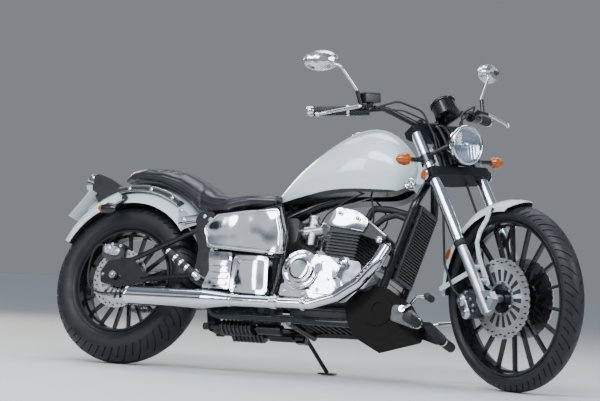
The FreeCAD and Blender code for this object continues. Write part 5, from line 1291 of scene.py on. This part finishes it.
def reservoir_lid():
    """The brake reservoir's grey box with its screwed lid."""
    bm = bmesh.new()
    spot = at(-54, -258, 902) @ Matrix.Rotation(RAKE, 4, "Y")
    block(bm, spot, (50, 66, 34), 4, 3)
    block(bm, spot @ at(0, 0, 17.5), (53, 69, 6))
    for y in (-26, 26):
        socket_screw(bm, spot @ at(0, y, 20), 3.4, 1.6)
    add_piece("reservoir_box", bm, "reservoir_grey", "steering", FORK, sharp=40)


def engine_details():
    """Round caps, a filler plug with its grip, and the trim on the head."""
    bm = bmesh.new()
    turned(bm, [(0, 12), (8, 12), (12, 10), (14.8, 5), (15.2, -1)],
           aimed((1106, -106, 510), RIGHT), 32)
    turned(bm, [(0, 6), (12, 6), (15, 4), (20, 3), (22, 0), (22, -13), (21, -14)],
           aimed((982, -132, 410), RIGHT), 40)
    block(bm, at(982, -140, 410), (26, 6, 6), 1.4)
    turned(bm, [(0, 6), (9, 6), (11, 4), (13, 0)], aimed((1030, -130, 336), RIGHT), 32)
    add_piece("engine_caps", bm, "chrome", "chassis", CHASSIS, sharp=40)
    bm = bmesh.new()
    block(bm, at(1088, -99.6, 556) @ tilted(36, "Y"), (96, 5, 7), 1.8)
    add_piece("head_trim", bm, "alloy", "chassis", CHASSIS, sharp=40)


def exhaust_details():
    """Rolled muffler end with its dark perforated core, and band clamps with their screws."""
    rear = CHASSIS @ aimed((121, MUFFLER_SIDE, MUFFLER_UP), REAR)
    round_piece("muffler_end", [(27.6, -6), (27.4, 1.4), (30, 3.2), (34, 2.4), (37.3, -1),
                                (37.6, -10), (36.4, -12)], rear, "chrome", "chassis",
                closed=True)
    round_piece("muffler_core", [(27.6, -8), (18, -14), (16, -18), (14, -36), (0, -38)], rear,
                "dial_black", "chassis")
    bm = bmesh.new()
    for x, r, clamped in ((575, 24, False), (752, 23.2, True), (765, 24.4, True),
                          (880, 24.4, True)):
        band = aimed((x - 7, MUFFLER_SIDE, MUFFLER_UP), AHEAD)
        turned(bm, [(r - 1, 0), (r + 1.2, 0.6), (r + 1.6, 3), (r + 1.6, 11), (r + 1.2, 13.4),
                    (r - 1, 14)], band, 40)
        if clamped:
            block(bm, band @ at(-(r + 5), 0, 7), (12, 10, 9), 1.6)
            block(bm, band @ at(r + 8, 0, 7), (22, 16, 13), 2.5)
    add_piece("exhaust_bands", bm, "chrome", "chassis", CHASSIS, sharp=40)


SPRING_SIDE, SPRING_UP, SPRING_END = 55, 158, 482
SPRING_RADIUS, SPRING_WIRE, SPRING_LENGTH = 26, 4.2, 136
SPRING_COILS = 8
STEPS_PER_COIL = 26


def spring_coils():
    """The two coil springs under the engine."""
    bm = bmesh.new()
    steps = SPRING_COILS * STEPS_PER_COIL
    for side in (-SPRING_SIDE, SPRING_SIDE):
        old = set(bm.verts)
        wire = bmesh.ops.create_circle(bm, segments=10, radius=SPRING_WIRE,
                                       matrix=at(SPRING_RADIUS, 0, 0) @ tilted(90, "X"))["verts"]
        geometry = wire + list({e for v in wire for e in v.link_edges})
        bmesh.ops.spin(bm, geom=geometry, cent=(0, 0, 0), axis=UP,
                       dvec=(0, 0, SPRING_LENGTH / steps), angle=TAU * SPRING_COILS, steps=steps)
        fresh = [v for v in bm.verts if v not in old]
        open_edges = [e for e in {e for v in fresh for e in v.link_edges} if e.is_boundary]
        bmesh.ops.holes_fill(bm, edges=open_edges)
        place = at(SPRING_END, side, SPRING_UP) @ tilted(90, "Y")
        bmesh.ops.transform(bm, matrix=place, verts=fresh)
    add_piece("spring_coils", bm, "spring_black", "chassis", CHASSIS, sharp=60)


clutch_ring()
side_cover_borders()
plug_leads()
wiring_looms()
stem_shroud()
bracket_arms()
oil_sump()
bead("rear_brake_hose", REAR_BRAKE_HOSE, 3.4, "rubber", "chassis", CHASSIS)
reservoir_lid()
engine_details()
exhaust_details()
spring_coils()


# Seat

VOXEL = 0.006
SMOOTH_ROUNDS = 6
FILL_PRESSURE = 4.0
FILL_CAP = 0.006
FILL_FRAMES = 20
CLOTH = {
    "quality": 6, "mass": 0.3, "tension_stiffness": 20, "compression_stiffness": 20,
    "shear_stiffness": 10, "bending_stiffness": 2, "use_pressure": True,
    "uniform_pressure_force": FILL_PRESSURE,
}
# Height of the stitched side seam at stations along the machine, and its width and depth
SEAT_SEAM = [(-60, 728), (-20, 744), (60, 752), (130, 750), (215, 728), (300, 682), (370, 646),
             (450, 640), (548, 656), (640, 672)]
SEAM_WIDTH, SEAM_DEPTH = 4.0, 2.0
SEAM_FROM_MIDDLE = 40
# Where the cover faces further down than this, it has no pillion seam
UNDERSIDE = -0.3
# Place of the pillion's seam at heights from below to above, and its width and depth
PILLION_SEAM = [(600, 336), (690, 322), (760, 300), (860, 282)]
PILLION_WIDTH, PILLION_DEPTH = 11.0, 3.5


def apply_modifiers(piece):
    """Replace a piece's mesh by what its modifiers make of it."""
    mesh, old = evaluated_mesh(piece), piece.data
    piece.modifiers.clear()
    piece.data = mesh
    bpy.data.meshes.remove(old)


def seat_start():
    """The seat's form, evenly meshed, with its edges softened."""
    bm = bmesh.new()
    bm.from_mesh(NODES["seat"].data)
    bmesh.ops.remove_doubles(bm, verts=bm.verts, dist=1e-5)
    seat = new_object("seat_cushion", mesh_of(bm, "seat_cushion"))
    remesh = seat.modifiers.new("even", "REMESH")
    remesh.mode = "VOXEL"
    remesh.voxel_size = VOXEL
    apply_modifiers(seat)
    bm = bmesh.new()
    bm.from_mesh(seat.data)
    for _ in range(SMOOTH_ROUNDS):
        bmesh.ops.smooth_vert(bm, verts=bm.verts, factor=0.5, use_axis_x=True, use_axis_y=True,
                              use_axis_z=True)
    bm.to_mesh(seat.data)
    bm.free()
    return seat


def inflate(piece):
    """Fill a closed piece like a cushion; no point moves further than the cap."""
    start = [v.co.copy() for v in piece.data.vertices]
    settings = piece.modifiers.new("fill", "CLOTH").settings
    for key, value in CLOTH.items():
        setattr(settings, key, value)
    settings.effector_weights.gravity = 0
    scene = bpy.context.scene
    for number in range(1, FILL_FRAMES + 1):
        scene.frame_set(number)
    apply_modifiers(piece)
    scene.frame_set(1)
    for vert, before in zip(piece.data.vertices, start):
        move = vert.co - before
        if move.length > FILL_CAP:
            vert.co = before + move.normalized() * FILL_CAP


def along_table(table, place):
    """Straight-line value of a (place, value) table."""
    for (x0, z0), (x1, z1) in zip(table, table[1:]):
        if place <= x1:
            return z0 + (z1 - z0) * (place - x0) / (x1 - x0)
    return table[-1][1]


def channel_depth(distance, width, depth):
    """How far a sewn channel pulls the cover in, with a soft roll on both sides."""
    reach = distance / width
    return depth * math.exp(-reach * reach)


def sew_seams(mesh):
    """Pull the cover in along the side seams and across the pillion."""
    into = CHASSIS.inverted()
    normals = [v.normal.copy() for v in mesh.vertices]
    for vert, normal in zip(mesh.vertices, normals):
        spot = into @ vert.co
        pull = 0.0
        if abs(spot.y) > SEAM_FROM_MIDDLE:
            pull += channel_depth(spot.z - along_table(SEAT_SEAM, spot.x), SEAM_WIDTH,
                                  SEAM_DEPTH)
        if (into.to_3x3() @ normal).normalized().z > UNDERSIDE:
            pull += channel_depth(spot.x - along_table(PILLION_SEAM, spot.z), PILLION_WIDTH,
                                  PILLION_DEPTH)
        vert.co -= normal * pull * MM


def seat_piece():
    """The padded seat: a filled cover with a pillion seam and a stitched seam along its side."""
    seat = seat_start()
    inflate(seat)
    sew_seams(seat.data)
    finer = seat.modifiers.new("finer", "SUBSURF")
    finer.levels = finer.render_levels = 1
    apply_modifiers(seat)
    seat.data.polygons.foreach_set("use_smooth", [True] * len(seat.data.polygons))
    dress(seat.data, "leather")
    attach(seat, "chassis")
    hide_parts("seat")


seat_piece()
